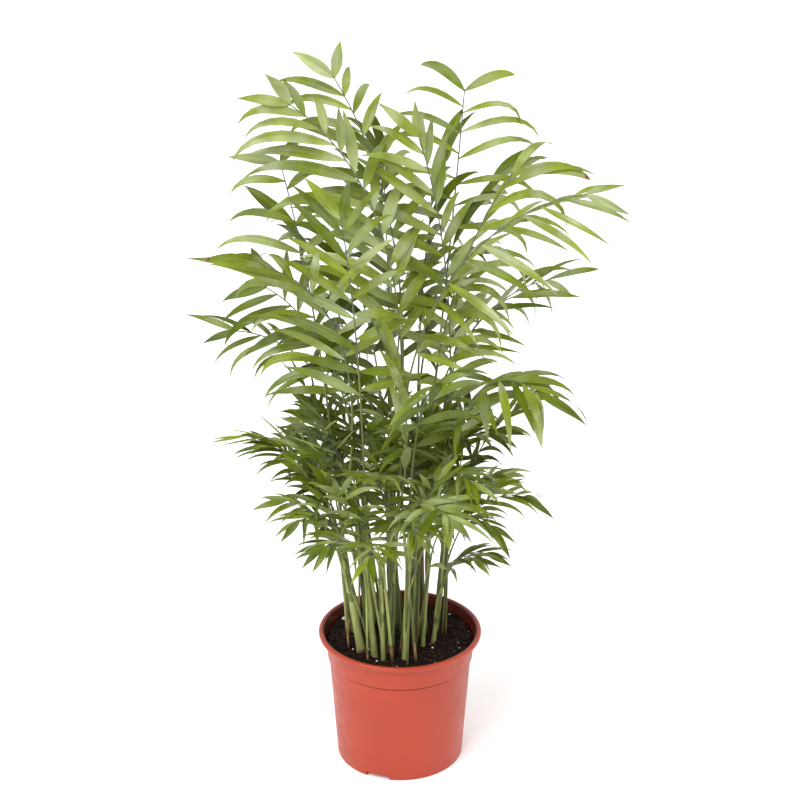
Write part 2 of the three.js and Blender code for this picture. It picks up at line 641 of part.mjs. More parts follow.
// Every rib is settled before the first leaflet, so that leaflets give way to ribs.
const nodes = [];
function stand(name, cane, height, fronds, ribFoot, finish) {
  const foot = ribFootPoint(CANES[cane - 1], height, fronds, ribFoot);
  const node = { name, parts: [], fronds: [], finish };
  const earlier = rods.filter((other) => other.ribbed || other.cane !== cane);
  for (const frond of fronds) {
    const { path, rod } = settledRib(foot, frond, ribFoot, earlier);
    rods.push({ rod, cane, ribbed: true });
    node.parts.push(ribSolid(path, ribFoot));
    node.fronds.push({ frond, path });
  }
  nodes.push(node);
}
FRONDS.forEach((frond, index) => {
  const full = { bare: FROND_BARE, spacing: LEAFLET_SPACING, seed: index + 1, ...frond };
  stand(`frond_${index + 1}`, frond.cane, frond.at, [full], RIB_FOOT, FROND_FINISH);
});
LOW_FRONDS.forEach(({ cane, at, fronds }, index) => {
  const full = fronds.map((frond, count) => ({
    ...LOW_BLADE, spacing: LOW_SPACING, seed: LOW_SEED.first + index * LOW_SEED.step + count, cane, ...frond,
  }));
  stand(`low_fronds_${index + 1}`, cane, at, full, LOW_RIB_FOOT, LOW_FINISH);
});
for (const node of nodes) {
  node.core = wasm.Manifold.union(node.parts);
  node.core.obstacle = { solid: node.core, box: boxOf(node.core) };
}
for (const node of nodes) {
  const ribs = nodes.filter((other) => other !== node).map((other) => other.core.obstacle);
  const others = obstacles.concat(ribs);
  const grown = [];
  for (const { frond, path } of node.fronds) {
    const nearby = others.concat(grown.map((solid) => ({ solid, box: boxOf(solid) })));
    grown.push(...leaflets(frond, path, nearby));
  }
  grown.forEach(standing);
  const whole = wasm.Manifold.union([node.core, ...grown]).simplify(FINEST_DETAIL);
  group.add(meshOf(node.name, whole, node.finish));
}

export default group;
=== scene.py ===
import math
from random import Random

import bpy
from bpy.props import FloatProperty, FloatVectorProperty, IntProperty, PointerProperty
from bpy.types import Operator, Panel, PropertyGroup
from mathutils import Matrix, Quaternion, Vector, noise


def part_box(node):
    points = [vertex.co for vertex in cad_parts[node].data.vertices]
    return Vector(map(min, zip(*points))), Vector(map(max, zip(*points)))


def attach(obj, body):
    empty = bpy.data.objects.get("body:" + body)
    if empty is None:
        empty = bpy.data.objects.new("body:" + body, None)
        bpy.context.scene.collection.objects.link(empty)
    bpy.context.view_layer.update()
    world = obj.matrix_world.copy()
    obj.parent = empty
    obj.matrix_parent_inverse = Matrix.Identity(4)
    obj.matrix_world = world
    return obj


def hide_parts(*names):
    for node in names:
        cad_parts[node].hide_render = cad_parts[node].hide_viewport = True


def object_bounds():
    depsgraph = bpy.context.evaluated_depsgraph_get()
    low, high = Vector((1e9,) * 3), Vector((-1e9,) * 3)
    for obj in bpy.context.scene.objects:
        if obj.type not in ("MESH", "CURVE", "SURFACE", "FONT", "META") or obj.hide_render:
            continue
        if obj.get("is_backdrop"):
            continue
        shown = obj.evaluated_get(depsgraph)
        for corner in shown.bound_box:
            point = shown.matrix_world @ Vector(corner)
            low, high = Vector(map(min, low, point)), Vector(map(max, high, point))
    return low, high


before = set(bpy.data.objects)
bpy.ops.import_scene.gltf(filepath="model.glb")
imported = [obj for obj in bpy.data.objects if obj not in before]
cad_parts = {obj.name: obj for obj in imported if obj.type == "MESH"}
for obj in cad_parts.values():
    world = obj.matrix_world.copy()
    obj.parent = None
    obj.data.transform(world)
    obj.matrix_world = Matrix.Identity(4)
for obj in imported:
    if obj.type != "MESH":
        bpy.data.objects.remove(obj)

bl_info = {
    "name": "Potted Parlour Palm",
    "version": (1, 0, 0),
    "blender": (4, 5, 0),
    "location": "View3D > Sidebar > Parlour Palm",
    "description": "Builds a parlour palm and the nursery pot that it grows in",
    "category": "Add Mesh",
}

# Shapes are worked out in millimetres and made in metres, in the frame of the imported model.
MM = 0.001
CAD_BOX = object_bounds()
POT_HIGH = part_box("pot")[1]
COMPOST_LOW, COMPOST_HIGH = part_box("compost")
UP = Vector((0, 0, 1))

# Pot: a moulded nursery pot with a rolled lip, a collar under it and a foot ring.
LIP_HEIGHT = 6
LIP_ROUND = 2.6
LIP_UNDER_ROUND = LIP_ROUND * 0.8
LIP_INNER_RADIUS = 79.4
LIP_INNER_ROUND = 2.2
LIP_FLARE = 0.8
COLLAR_TOP_RADIUS = 78.6
COLLAR_TOP_EASE = 0.2
COLLAR_FOOT_RADIUS = 75.9
COLLAR_FOOT_ROUND = 0.6
COLLAR_HEIGHT = 24
COLLAR_INNER_DROP = 3
BODY_TOP_RADIUS = 74.2
BODY_FOOT_RADIUS = 66.2
FOOT_ROUND = 1.5
GROOVE_INNER = 51
GROOVE_OUTER = 57
GROOVE_DEPTH = 5
# The undercut below the collar: its depth, and how far down it starts, is full and ends.
UNDERCUT_DEPTH = 0.8
UNDERCUT_FOOT, UNDERCUT_WAIST, UNDERCUT_TOP = 1.5, 1.1, 0.1
NOTCH_COUNT = 3
NOTCH_TURN = 249
NOTCH_WIDTH = 25
NOTCH_FLARE = 1.06
NOTCH_START = GROOVE_OUTER - 1
NOTCH_END = BODY_FOOT_RADIUS + 8
HOLE_COUNT = 6
HOLE_RADIUS = 2.5
HOLE_CORNERS = 18
CUT_MARGIN = 2
POT_SIDES = 160
POT_SHARP_ANGLE = 38
# The inside of the pot's wall takes a second material: the plastic's colour darkened as painted
# shade.
INNER_WALL_SHADE_FINISH = 1
INNER_WALL_PAINTED_SHADE = 0.3

# Compost: the humps and crumbs of its top, how high it banks up to the pot, and its mesh. The
# noise of the humps has a smoothness, a step from octave to octave and a count of octaves. That of
# the crumbs has a count of octaves, and whether it is creased.
HUMP_SPAN = 17
HUMP_HEIGHT = 1.9
HUMP_LAYER = 3
HUMP_NOISE = (0.9, 2.1, 5)
CRUMB_SPAN = 4.5
CRUMB_HEIGHT = 1.3
CRUMB_LAYER = 9
CRUMB_NOISE = (4, False)
COMPOST_BANK = 3
BANK_POWER = 3
COMPOST_SETTLED = 1.2
COMPOST_SQUEEZE = 0.2
COMPOST_SIDES = 180
COMPOST_RINGS = 56
COMPOST_WAIST_HEIGHT = 108
COMPOST_WAIST_INSET = 2
COMPOST_FOOT_INSET = 2.4

# What lies on the compost. A size is its least, its spread and the power that keeps most small.
SCATTER_GAP = 0.5
SCATTER_REACH = 0.98
CRUMB_SIZE = (0.7, 2.3, 2.2)
CRUMB_LENGTHS = (0.8, 1.5)
CRUMB_WIDTHS = (0.7, 1.2)
CRUMB_THICKNESS = 0.75
CRUMB_LIFT = 0.25
PEAT, BARK = range(2)
PEAT_SHARE = 0.62
PERLITE_SIZE = (0.45, 0.85, 2)
PERLITE_LIFT = 0.6
PERLITE_SHAPE = (1, 0.9, 0.8)
PEBBLE_PLACE = (-59, 38)
PEBBLE_RADII = (3.1, 2.6, 2.2)
CRUMB_SEED, PERLITE_SEED, FIBRE_SEED, PEBBLE_SEED = 3, 5, 8, 7
FIBRE_LENGTHS = (4, 13)
FIBRE_BOW = 0.25
FIBRE_LIFT = 0.8
FIBRE_ARCH = 0.9
FIBRE_RADII = (0.2, 0.28, 0.3, 0.26, 0.16)
FIBRE_SIDES = 5
LUMP_ROUGHNESS = 0.35
LUMP_WAVES = 1.7
LUMP_STEPS = (3.1, 1.7, 0.9)


# Canes and fronds


def cane_row(x, y, turn, tilt, length, foot, tip):
    """Where a cane stands on the compost, which way and how far it leans, its length and radii."""
    return {"x": x, "y": y, "turn": turn, "tilt": tilt, "length": length, "foot": foot, "tip": tip}


def frond_row(cane, at, turn, length, lean, nod, **more):
    """A frond's cane and height on it, its turn, length and two angles, and what else it has."""
    return {"cane": cane, "at": at, "turn": turn, "length": length, "lean": lean, "nod": nod,
            **more}


CANES = [
    cane_row(-40, -26, 190, 9, 142, 4.6, 2.4),
    cane_row(-49, 14, 160, 6, 120, 2.2, 1.3),
    cane_row(-33, 8, 170, 5, 140, 2.3, 1.3),
    cane_row(-26, -36, 200, 5, 130, 3.4, 1.7),
    cane_row(-17, -44, 250, 3, 120, 2.3, 1.3),
    cane_row(-9, -31, 300, 3, 120, 2.4, 1.3),
    cane_row(-9, -12, 100, 2, 160, 3.4, 1.8),
    cane_row(5, -45, 300, 3, 130, 3.0, 1.6),
    cane_row(16, 7, 60, 3, 165, 4.0, 2.0),
    cane_row(24, -13, 10, 3, 130, 2.2, 1.3),
    cane_row(35, -9, 350, 5, 120, 2.4, 1.3),
    cane_row(12, 38, 70, 4, 160, 3.2, 1.7),
    cane_row(-7, 30, 110, 4, 160, 3.2, 1.7),
    cane_row(38, 16, 20, 6, 130, 2.6, 1.4),
    cane_row(-28, 36, 140, 6, 140, 2.6, 1.4),
]

# Canes: a flared foot, sometimes brown, and faint scars where old sheaths came away.
CANE_STEPS = 60
CANE_SIDES = 20
CANE_SINK = 4
GREEN_CANE, BROWN_CANE = range(2)
CANE_FLARE = 0.16
CANE_FLARE_HEIGHT = 7
SCAR_SHARES = (0.14, 0.3)
SCAR_WAVER = 0.05
SCAR_RISE = 0.14
SCAR_HEIGHT = 1.4
BROWN_CANE_RINGS = 4
BROWN_CANE_LIMIT = 0.1

# Fronds. Each rises from a cane at a height, in the upright plane of its turn. Its rib leaves the
# cane at the angle lean from upright, and bends over to the angle nod at its tip. The higher its
# bend, the later it bends. Its blade is rolled about the rib, and the leaflets grow past the share
# bare, in pairs at a spacing. They are as long as leaflet, less by fall towards the ends and by
# their side's share left or right, and as wide as width and, at the tip, terminal make them. They
# part from the rib at the angles spread to spread_tip, rise by lift and bend over by bow. Tone
# counts from the lightest green.
FRONDS = [
    frond_row(7, 150, 153, 458, -6, 36, roll=-62, lift=-27, bow=72, spread=62, spread_tip=36,
              leaflet=96.7, fall=1.2, right=0.62),
    frond_row(6, 110, 173, 500, -3, 58, bend=3, roll=-64, lift=-28, bow=66, spread=52,
              spread_tip=24, leaflet=118, fall=1.3, right=0.6),
    frond_row(2, 110, 177, 406, 5, 14, roll=-64, lift=-20, bow=85, spacing=29, spread_tip=58,
              leaflet=86, fall=1, right=0.72),
    frond_row(4, 120, 246, 372, 3, 18, bow=26, spread=70, spread_tip=22, leaflet=84),
    frond_row(1, 140, 216, 336, -10, 68, bend=2, roll=20, bow=34, spread=60, leaflet=104, bare=0.55,
              spread_tip=10, lift=2, width=0.85),
    frond_row(9, 160, 33, 418, 7, 5, roll=60, spacing=21, bow=112, spread=80, spread_tip=52,
              leaflet=102, fall=1.2, width=0.7, terminal=1.3),
    frond_row(11, 110, 217, 445, -4, 21, roll=78, lift=28, bow=36, spread=62, spread_tip=30,
              leaflet=102, fall=1.3, left=0.62),
    frond_row(10, 120, 12, 398, 0, 36, roll=-5, lift=-26, bow=108, spread=52, spread_tip=42,
              leaflet=112, left=0.7, fall=0.1, width=0.74),
    frond_row(8, 120, 353, 462, -4, 80, roll=18, lift=-28, bow=34, spread=76, spread_tip=30,
              leaflet=98, fall=1.2, left=0.84, right=0.9, width=0.8),
    frond_row(11, 115, 322, 262, 5, 122, bend=3.5, roll=10, lift=-20, bow=64, spacing=15,
              leaflet=88, right=0.95, tone=1),
    frond_row(14, 126, 16, 290, -3, 94, bend=3, lift=-18, bow=30, leaflet=74, spread_tip=18,
              width=0.7),
    frond_row(5, 110, 143, 242, -17, 26, leaflet=84, roll=40, bow=30, spread=46, width=1.15),
    frond_row(9, 120, 8, 233, 9, 11, leaflet=70, roll=-50, bow=60),
    frond_row(8, 127, 286, 262, 5, 66, bow=60, leaflet=66, roll=20, tone=2),
    frond_row(3, 135, 146, 275, 2, 76, leaflet=84, roll=-45, bow=70),
    frond_row(13, 155, 95, 358, 2, 50, leaflet=88, roll=70, bow=60),
    frond_row(12, 155, 55, 345, 2, 74, leaflet=88, roll=-60, bow=70),
    frond_row(15, 135, 130, 330, 2, 74, leaflet=88, roll=55, bow=60),
    frond_row(13, 120, 84, 306, 4, 100, leaflet=64, roll=-30, bow=80),
    frond_row(15, 110, 168, 275.4, 4, 92, leaflet=82, roll=60, bow=60, width=0.62),
    frond_row(12, 120, 28, 310, 5, 90, leaflet=82, roll=-50, bow=60, width=0.62, tone=1),
    frond_row(13, 100, 118, 270, 6, 112, leaflet=74, roll=25, bow=80),
    frond_row(9, 140, 75, 368, -3, 44, leaflet=86, roll=-70, bow=60),
    frond_row(7, 130, 112, 330, 2, 84, leaflet=84, roll=45, bow=70),
]

# Low fronds: short ones whose stalks leave their cane in ones and twos from one foot.
LOW_FRONDS = [
    frond_row(14, 95, 2, 190, 10, 56, extras=1),
    frond_row(12, 105, 328, 170, 12, 80, bow=62, leaflet=60, extras=1),
    frond_row(12, 85, 70, 170, 16, 110),
    frond_row(8, 85, 350, 146, 15, 72, bow=12),
    frond_row(8, 105, 295, 150, 12, 104, leaflet=74, bow=60, width=0.85, extras=0),
    frond_row(10, 85, 337, 116, 6, 130, extras=1),
    frond_row(11, 60, 345, 76, 14, 100, extras=0, leaflet=46),
    frond_row(11, 60, 310, 84, 16, 90, extras=0),
    frond_row(3, 105, 188, 185, 16, 92, bow=10, spread_tip=10, width=0.3, leaflet=58, spacing=22,
              tone=1),
    frond_row(2, 90, 176, 150, 16, 60, extras=2, width=0.6),
    frond_row(2, 90, 150, 150, 18, 95, extras=2, width=0.5, spacing=14),
    frond_row(1, 100, 197, 106, 14, 76, bow=60, spread_tip=14, leaflet=60),
    frond_row(1, 100, 232, 116, 14, 96),
    frond_row(5, 85, 222, 106, 16, 100, extras=1),
    frond_row(5, 85, 262, 120, 14, 110, extras=1),
    frond_row(6, 85, 287, 135, 6, 110, extras=1),
    frond_row(4, 80, 215, 92, 8, 100, extras=1),
    frond_row(13, 85, 100, 150, 16, 100),
    frond_row(15, 90, 110, 140, 16, 105),
    frond_row(15, 90, 160, 150, 16, 95),
    frond_row(14, 75, 45, 120, 16, 100, extras=1),
    frond_row(14, 75, 10, 125, 16, 115, extras=1),
    frond_row(9, 100, 300, 170, 12, 100, extras=2),
    frond_row(7, 110, 262, 136, 8, 74, extras=2),
    frond_row(9, 100, 258, 160, 6, 60, extras=2, tone=2),
    frond_row(3, 105, 236, 140, 8, 62, extras=2, tone=2),
]

# Ribs. A rib runs on down beside its cane, hugging it or to a foot of its own in the compost.
RIB_STEPS = 32
RIB_SIDES = 8
RIB_FOOT = 1.5
RIB_TIP = 0.55
LOW_RIB_FOOT = 1.05
LOW_RIB_TIP = 0.45
RIB_SINK = 0.6
RIB_TAPER_POWER = 0.8
BEND = 2
RUN_DOWN_STEPS = 10
OWN_FOOT_LIMIT = 0.05
OWN_FOOT_SINK = 3
OWN_FOOT_REACH = 3.4
OWN_FOOT_GAP = 3
OWN_FOOT_SWELL = 1.15
OWN_FOOT_TAPER = 0.15
HUG_LOWEST = 3
HUG_SHARE = 0.42
HUG_WAVER = 0.3
HUG_INSET = 0.35
HUG_RATE = 2.2
HUG_START = 0.9
HUG_GAIN = 0.2
STALK, STALK_TOP, RIB, SHADED_STALK, RUSSET_STALK, DRY_STALK = range(6)
SHADED_ABOVE = -0.25
RUSSET_BELOW = -0.8
STALK_TOP_FROM = 0.55
RIB_PAST_BARE = 0.12
BROWN_FOOT_RINGS = 3
BROWN_FOOT_LIMIT = 0.2

# Sheaths: how each stands from its cane as it rises, and draws in to its stalk and past its foot.
SHEATH_LENGTH = 48
SHEATH_STEPS = 16
SHEATH_SIDES = 16
SHEATH_LOWEST = 2
SHEATH_OVERLAP = 2
SHEATH_DRAWN_FROM = 0.4
SHEATH_FOOT_STAND = -0.4
SHEATH_STAND = 0.45
SHEATH_RISE = 3
SHEATH_TOP = 1.25
SHEATH_MOUTH = ((1, 1.15), (2, 1.06), (3, 0.98))

# Leaflets. A waver is how far a size may stray either way.
# The first this many fronds stand at the front; those behind take the darker mid tone as painted
# shade.
FRONT_FRONDS = 14
BARE = 0.48
SPREAD_FOOT = 72
SPREAD_TIP = 32
SPREAD_WAVER = 10
LIFT = -6
LIFT_WAVER = 12
LONGEST_SHARE = 0.4
LONGEST_FALL = 0.7
LENGTH_WAVER = 0.12
WIDTH_WAVER = 0.12
USUAL_LENGTH = 80
BOW = 78
BOW_WAVER = 0.5
BOW_POWER = 2.3
HANGING = 172
TWIST_WAVER = 0.5
SWEEP = 0.05
SWEEP_WAVER = 0.05
FOLD = 0.32
FOLD_WAVER = 0.14
FEWEST_PAIRS = 3
HAND_SHIFT = 0.28
PLACE_WAVER = 0.5
LAST_PLACE = 0.995
CROWDING = 0.2
LIGHT_SIDE = Vector((0, -0.8, 0.6))
FACING = 0.6
TERMINAL_LENGTH = 0.86
TERMINAL_WIDTH = 1.5
TERMINAL_BOW = 0.45
TERMINAL_HAND = 0.5
TERMINAL_FALL = 0.8
LONG_LEAFLET = 56
TONE_WAVER = 1
DRY_LIMIT = 0.8

# A blade: the shares of its length at which it is drawn out, and of its half width across it.
BLADE_STATIONS = (0, 0.035, 0.1, 0.2, 0.32, 0.45, 0.58, 0.7, 0.81, 0.9, 0.96, 1)
DRY_STATION = 9
PLEAT_PLACE = 0.52
PLEAT_RISE = 0.07
BLADE_ACROSS = (-1, -PLEAT_PLACE, -0.07, 0.07, PLEAT_PLACE, 1)
MIDRIB_COLUMN = 2
BLADE, MIDRIB, DRY_TIP = range(3)
BLADE_RISE = 0.8
BLADE_FALL = 1.25
STEM_WIDTH = 0.22
POINT_WIDTH = 0.02
GUTTER_LOSS = 0.75
BLADE_MAP = "Blade"
BLADE_MAP_GAP = 3

# The skirt of low fronds, and the finer ones that part from each.
LOW_BARE = 0.4
LOW_LEAFLET = 54
LOW_WIDTH = 0.7
LOW_BOW = 62
LOW_SPREAD = 56
LOW_SPREAD_TIP = 20
LOW_SEED = 40
EXTRA_LOW_FRONDS = 2
EXTRA_BELOW_TIP = 6
EXTRA_RISE, EXTRA_RISE_WAVER = 24, 14
EXTRA_TURN, EXTRA_TURN_WAVER = 40, 14
EXTRA_LENGTH, EXTRA_LENGTH_WAVER = 0.8, 0.1
EXTRA_NOD, EXTRA_NOD_WAVER = 0.4, 0.3

# The count that gives each thing that strays its own repeatable numbers. For leaflets it starts a
# run, with a number for each leaflet.
STRAYS = {"low tone": 5, "extra": 7, "brown cane": 9, "own foot": 31, "low end": 32, "aside": 33,
          "stalk": 34, "brown foot": 35, "tone": 77}
LEAFLET_STRAYS = {"spread": 0, "length": 50, "bow": 100, "lift": 150, "width": 200, "twist": 250,
                  "sweep": 300, "fold": 350, "tone": 400, "tip": 450, "place": 500}

# Finishes.
DRY_ROUGHNESS = 0.8
PEAT_ROUGHNESS = 0.92
PAPER_ROUGHNESS = 0.9

# Leaf finish: its tones from light to dark, and how glossy each is, which also scales the painted
# sheen on it.
TONES = ("lime", "fresh", "mid", "deep")
LIME, FRESH, MID = range(3)
GLOSS = {"lime": 1, "fresh": 0.7, "mid": 0.35, "deep": 0.2}
BLADE_ROUGHNESS = 0.3
MIDRIB_ROUGHNESS = 0.42
MIDRIB_SHADE = 1.16
LEAF_SPECULAR = 0.4
# Patches of this span are smoother, and there a painted sheen mixes the leaf's green toward a pale
# grey-green, up to a share scaled by its gloss.
GLOSS_AND_SHEEN_SPAN = 38
PAINTED_SHEEN_SHARE = 0.19
PAINTED_SHEEN_FROM, PAINTED_SHEEN_TO = 0.44, 0.62
POLISH_FROM, POLISH_TO = 0.42, 0.6
ROUGHER, SMOOTHER = 0.12, 0.06
# How many veins to a half width of the blade, and how many waves along it. Real veins are twice as
# close, and are drawn as coarse as they have to be to show.
VEIN_SCALE = (3.2, 0.9, 1)

# Camera and stage, in metres and degrees. The lens and the sensor are in millimetres.
CAMERA_PLACE = (0, -1.8375, 1.1746)
CAMERA_PITCH = 22.77
CAMERA_LENS = 90
CAMERA_REACH = 100
SENSOR = 36
FLOOR_SIZE = 16
KEY_PLACE, KEY_WIDTH = (-1.2, -1.5, 1.9), 40
FILL_PLACE, FILL_WIDTH = (1.5, -0.8, 1.6), 60


def linear(colour):
    """The linear RGBA of an sRGB hex colour."""
    shades = []
    for start in (0, 2, 4):
        value = int(colour[start:start + 2], 16) / 255
        shades.append(value / 12.92 if value <= 0.04045 else ((value + 0.055) / 1.055) ** 2.4)
    return (*shades, 1)


def shade(colour, factor):
    """A linear colour made lighter or darker."""
    return (*(min(1, part * factor) for part in colour[:3]), 1)


def heading(turn):
    """A level unit vector at a turn from +X."""
    return Vector((math.cos(math.radians(turn)), math.sin(math.radians(turn)), 0))


def wobble(first, second):
    """A repeatable number from -1 to 1 for a pair of counts."""
    wave = math.sin(first * 12.9898 + second * 78.233) * 43758.5453
    return 2 * (wave - math.floor(wave)) - 1


def stray(seed, thing, index=0):
    """How far a thing strays, from -1 to 1."""
    return wobble(seed, STRAYS[thing] + index)


def between(low, high, share):
    """The value at a share of the way from one to another."""
    return low + (high - low) * share


# Materials


def add(tree, kind, settings=None, inputs=None, links=None):
    """Adds a node with its settings, its sockets' values and its links."""
    node = tree.nodes.new(kind)
    for name, value in (settings or {}).items():
        setattr(node, name, value)
    for name, value in (inputs or {}).items():
        node.inputs[name].default_value = value
    for name, socket in (links or {}).items():
        tree.links.new(socket, node.inputs[name])
    return node


def new_material(name, roughness, ior=1.45, specular=None):
    """An opaque material and its tree, shader and object coordinates."""
    material = bpy.data.materials.new(name)
    material.use_nodes = True
    tree = material.node_tree
    shader = tree.nodes["Principled BSDF"]
    shader.inputs["Roughness"].default_value = roughness
    shader.inputs["IOR"].default_value = ior
    if specular is not None:
        shader.inputs["Specular IOR Level"].default_value = specular
    place = add(tree, "ShaderNodeTexCoord").outputs["Object"]
    return material, tree, shader, place


def mottle(tree, place, size_mm, light, dark, detail=4, contrast=(0.35, 0.65)):
    """A colour that wanders between two shades in patches of a size."""
    patches = add(tree, "ShaderNodeTexNoise", links={"Vector": place},
                  inputs={"Scale": 1 / (size_mm * MM), "Detail": detail})
    ramp = add(tree, "ShaderNodeValToRGB", links={"Fac": patches.outputs["Fac"]})
    for element, position, colour in zip(ramp.color_ramp.elements, contrast, (dark, light)):
        element.position = position
        element.color = colour
    return ramp.outputs["Color"]


def relief(tree, shader, place, size_mm, depth_mm, strength=1, detail=3):
    """Small bumps of a size and depth."""
    bumps = add(tree, "ShaderNodeTexNoise", links={"Vector": place},
                inputs={"Scale": 1 / (size_mm * MM), "Detail": detail})
    bump = add(tree, "ShaderNodeBump", links={"Height": bumps.outputs["Fac"]},
               inputs={"Strength": strength, "Distance": depth_mm * MM})
    tree.links.new(bump.outputs["Normal"], shader.inputs["Normal"])


def patchy_material(name, roughness, patches, bumps=None, specular=None, stretch=None):
    """A material with mottled patches and bumps, drawn out along its height by a small stretch."""
    material, tree, shader, place = new_material(name, roughness, specular=specular)
    if stretch:
        place = add(tree, "ShaderNodeMapping", inputs={"Scale": (1, 1, stretch)},
                    links={"Vector": place}).outputs["Vector"]
    tree.links.new(mottle(tree, place, **patches), shader.inputs["Base Color"])
    if bumps:
        relief(tree, shader, place, **bumps)
    return material


def leaf_material(name, colour, roughness, gloss):
    """Living leaf: a waxy cuticle gives a soft gloss, smoother in patches, and in the same patches
    a painted sheen pales the green here and there; the green wanders and is veined lengthwise."""
    material, tree, shader, place = new_material(name, roughness, ior=1.5,
                                                 specular=LEAF_SPECULAR * gloss)
    tint = mottle(tree, place, size_mm=26, light=shade(colour, 1.2), dark=shade(colour, 0.8))
    blade = add(tree, "ShaderNodeUVMap", {"uv_map": BLADE_MAP}).outputs["UV"]
    stretched = add(tree, "ShaderNodeMapping", inputs={"Scale": VEIN_SCALE},
                    links={"Vector": blade}).outputs["Vector"]
    veins = mottle(tree, stretched, size_mm=1 / MM, light=(1, 1, 1, 1), dark=(0.72, 0.76, 0.6, 1),
                   detail=2)
    veined = add(tree, "ShaderNodeMixRGB", {"blend_type": "MULTIPLY"}, {"Fac": 1},
                 {"Color1": tint, "Color2": veins}).outputs["Color"]
    polish_and_painted_sheen = add(tree, "ShaderNodeTexNoise", links={"Vector": place},
              inputs={"Scale": 1 / (GLOSS_AND_SHEEN_SPAN * MM), "Detail": 2}).outputs["Fac"]
    painted_sheen = add(tree, "ShaderNodeMapRange", links={"Value": polish_and_painted_sheen},
                inputs={"From Min": PAINTED_SHEEN_FROM, "From Max": PAINTED_SHEEN_TO, "To Max": PAINTED_SHEEN_SHARE * gloss})
    # Painted sheen: a pale grey-green mixed into the colour in patches, standing in for light
    # shining off the leaf.
    sheened_colour = add(tree, "ShaderNodeMixRGB", inputs={"Color2": linear("DDE3D2")},
                  links={"Fac": painted_sheen.outputs["Result"], "Color1": veined})
    tree.links.new(sheened_colour.outputs["Color"], shader.inputs["Base Color"])
    polish = add(tree, "ShaderNodeMapRange", links={"Value": polish_and_painted_sheen},
                 inputs={"From Min": POLISH_FROM, "From Max": POLISH_TO,
                         "To Min": roughness + ROUGHER, "To Max": roughness - SMOOTHER})
    tree.links.new(polish.outputs["Result"], shader.inputs["Roughness"])
    relief(tree, shader, place, size_mm=2.2, depth_mm=0.25, strength=0.35)
    return material


def stalk_material(name, colour, roughness):
    """Green stalk: smooth and faintly ribbed along its length, with paler and darker stretches."""
    patches = {"size_mm": 3.2, "light": shade(colour, 1.2), "dark": shade(colour, 0.76)}
    bumps = {"size_mm": 1.4, "depth_mm": 0.3, "strength": 0.5}
    return patchy_material(name, roughness, patches, bumps, specular=0.25, stretch=0.12)


def dry_material():
    """Dead sheath and leaf tips: papery, matt and tan, with darker streaks."""
    patches = {"size_mm": 3, "light": linear("9C7E52"), "dark": linear("523820")}
    bumps = {"size_mm": 1.2, "depth_mm": 0.4, "strength": 0.6}
    return patchy_material("Dry sheath", DRY_ROUGHNESS, patches, bumps, stretch=0.15)


def pot_material(name, colour):
    """Injection-moulded polypropylene: satin, with a faint flow pattern and soft scuffs."""
    material, tree, shader, place = new_material(name, roughness=0.4, ior=1.49)
    tint = mottle(tree, place, size_mm=60, light=shade(colour, 1.05), dark=shade(colour, 0.94),
                  detail=3)
    tree.links.new(tint, shader.inputs["Base Color"])
    scuffs = add(tree, "ShaderNodeTexNoise", links={"Vector": place},
                 inputs={"Scale": 1 / (14 * MM), "Detail": 8})
    gloss = add(tree, "ShaderNodeMapRange", links={"Value": scuffs.outputs["Fac"]},
                inputs={"From Min": 0.35, "From Max": 0.7, "To Min": 0.34, "To Max": 0.47})
    tree.links.new(gloss.outputs["Result"], shader.inputs["Roughness"])
    relief(tree, shader, place, size_mm=5, depth_mm=0.06, strength=0.35)
    return material


def compost_material():
    """Damp peat: nearly black, matt and crumbly, with brown fibre showing in it."""
    patches = {"size_mm": 2.6, "light": linear("28130B"), "dark": linear("120805"), "detail": 8,
               "contrast": (0.4, 0.8)}
    bumps = {"size_mm": 1.5, "depth_mm": 1.1, "strength": 0.9, "detail": 8}
    return patchy_material("Damp peat", PEAT_ROUGHNESS, patches, bumps, specular=0.2)


def crumb_material(name, light, dark, roughness):
    """Loose bits on the compost: each kind in its own two shades."""
    patches = {"size_mm": 1.8, "light": linear(light), "dark": linear(dark)}
    bumps = {"size_mm": 0.8, "depth_mm": 0.3, "strength": 0.6}
    return patchy_material(name, roughness, patches, bumps, specular=0.25)


def floor_material(colour):
    """Paper sweep: matt, and all but even."""
    patches = {"size_mm": 900, "light": colour, "dark": shade(colour, 0.985), "detail": 2}
    return patchy_material("Pale paper", PAPER_ROUGHNESS, patches)


# Shapes


def new_object(name, data):
    """An object of its data, in the scene."""
    made = bpy.data.objects.new(name, data)
    bpy.context.scene.collection.objects.link(made)
    return made


def one_finish(row, column):
    """The first material, all over."""
    return 0


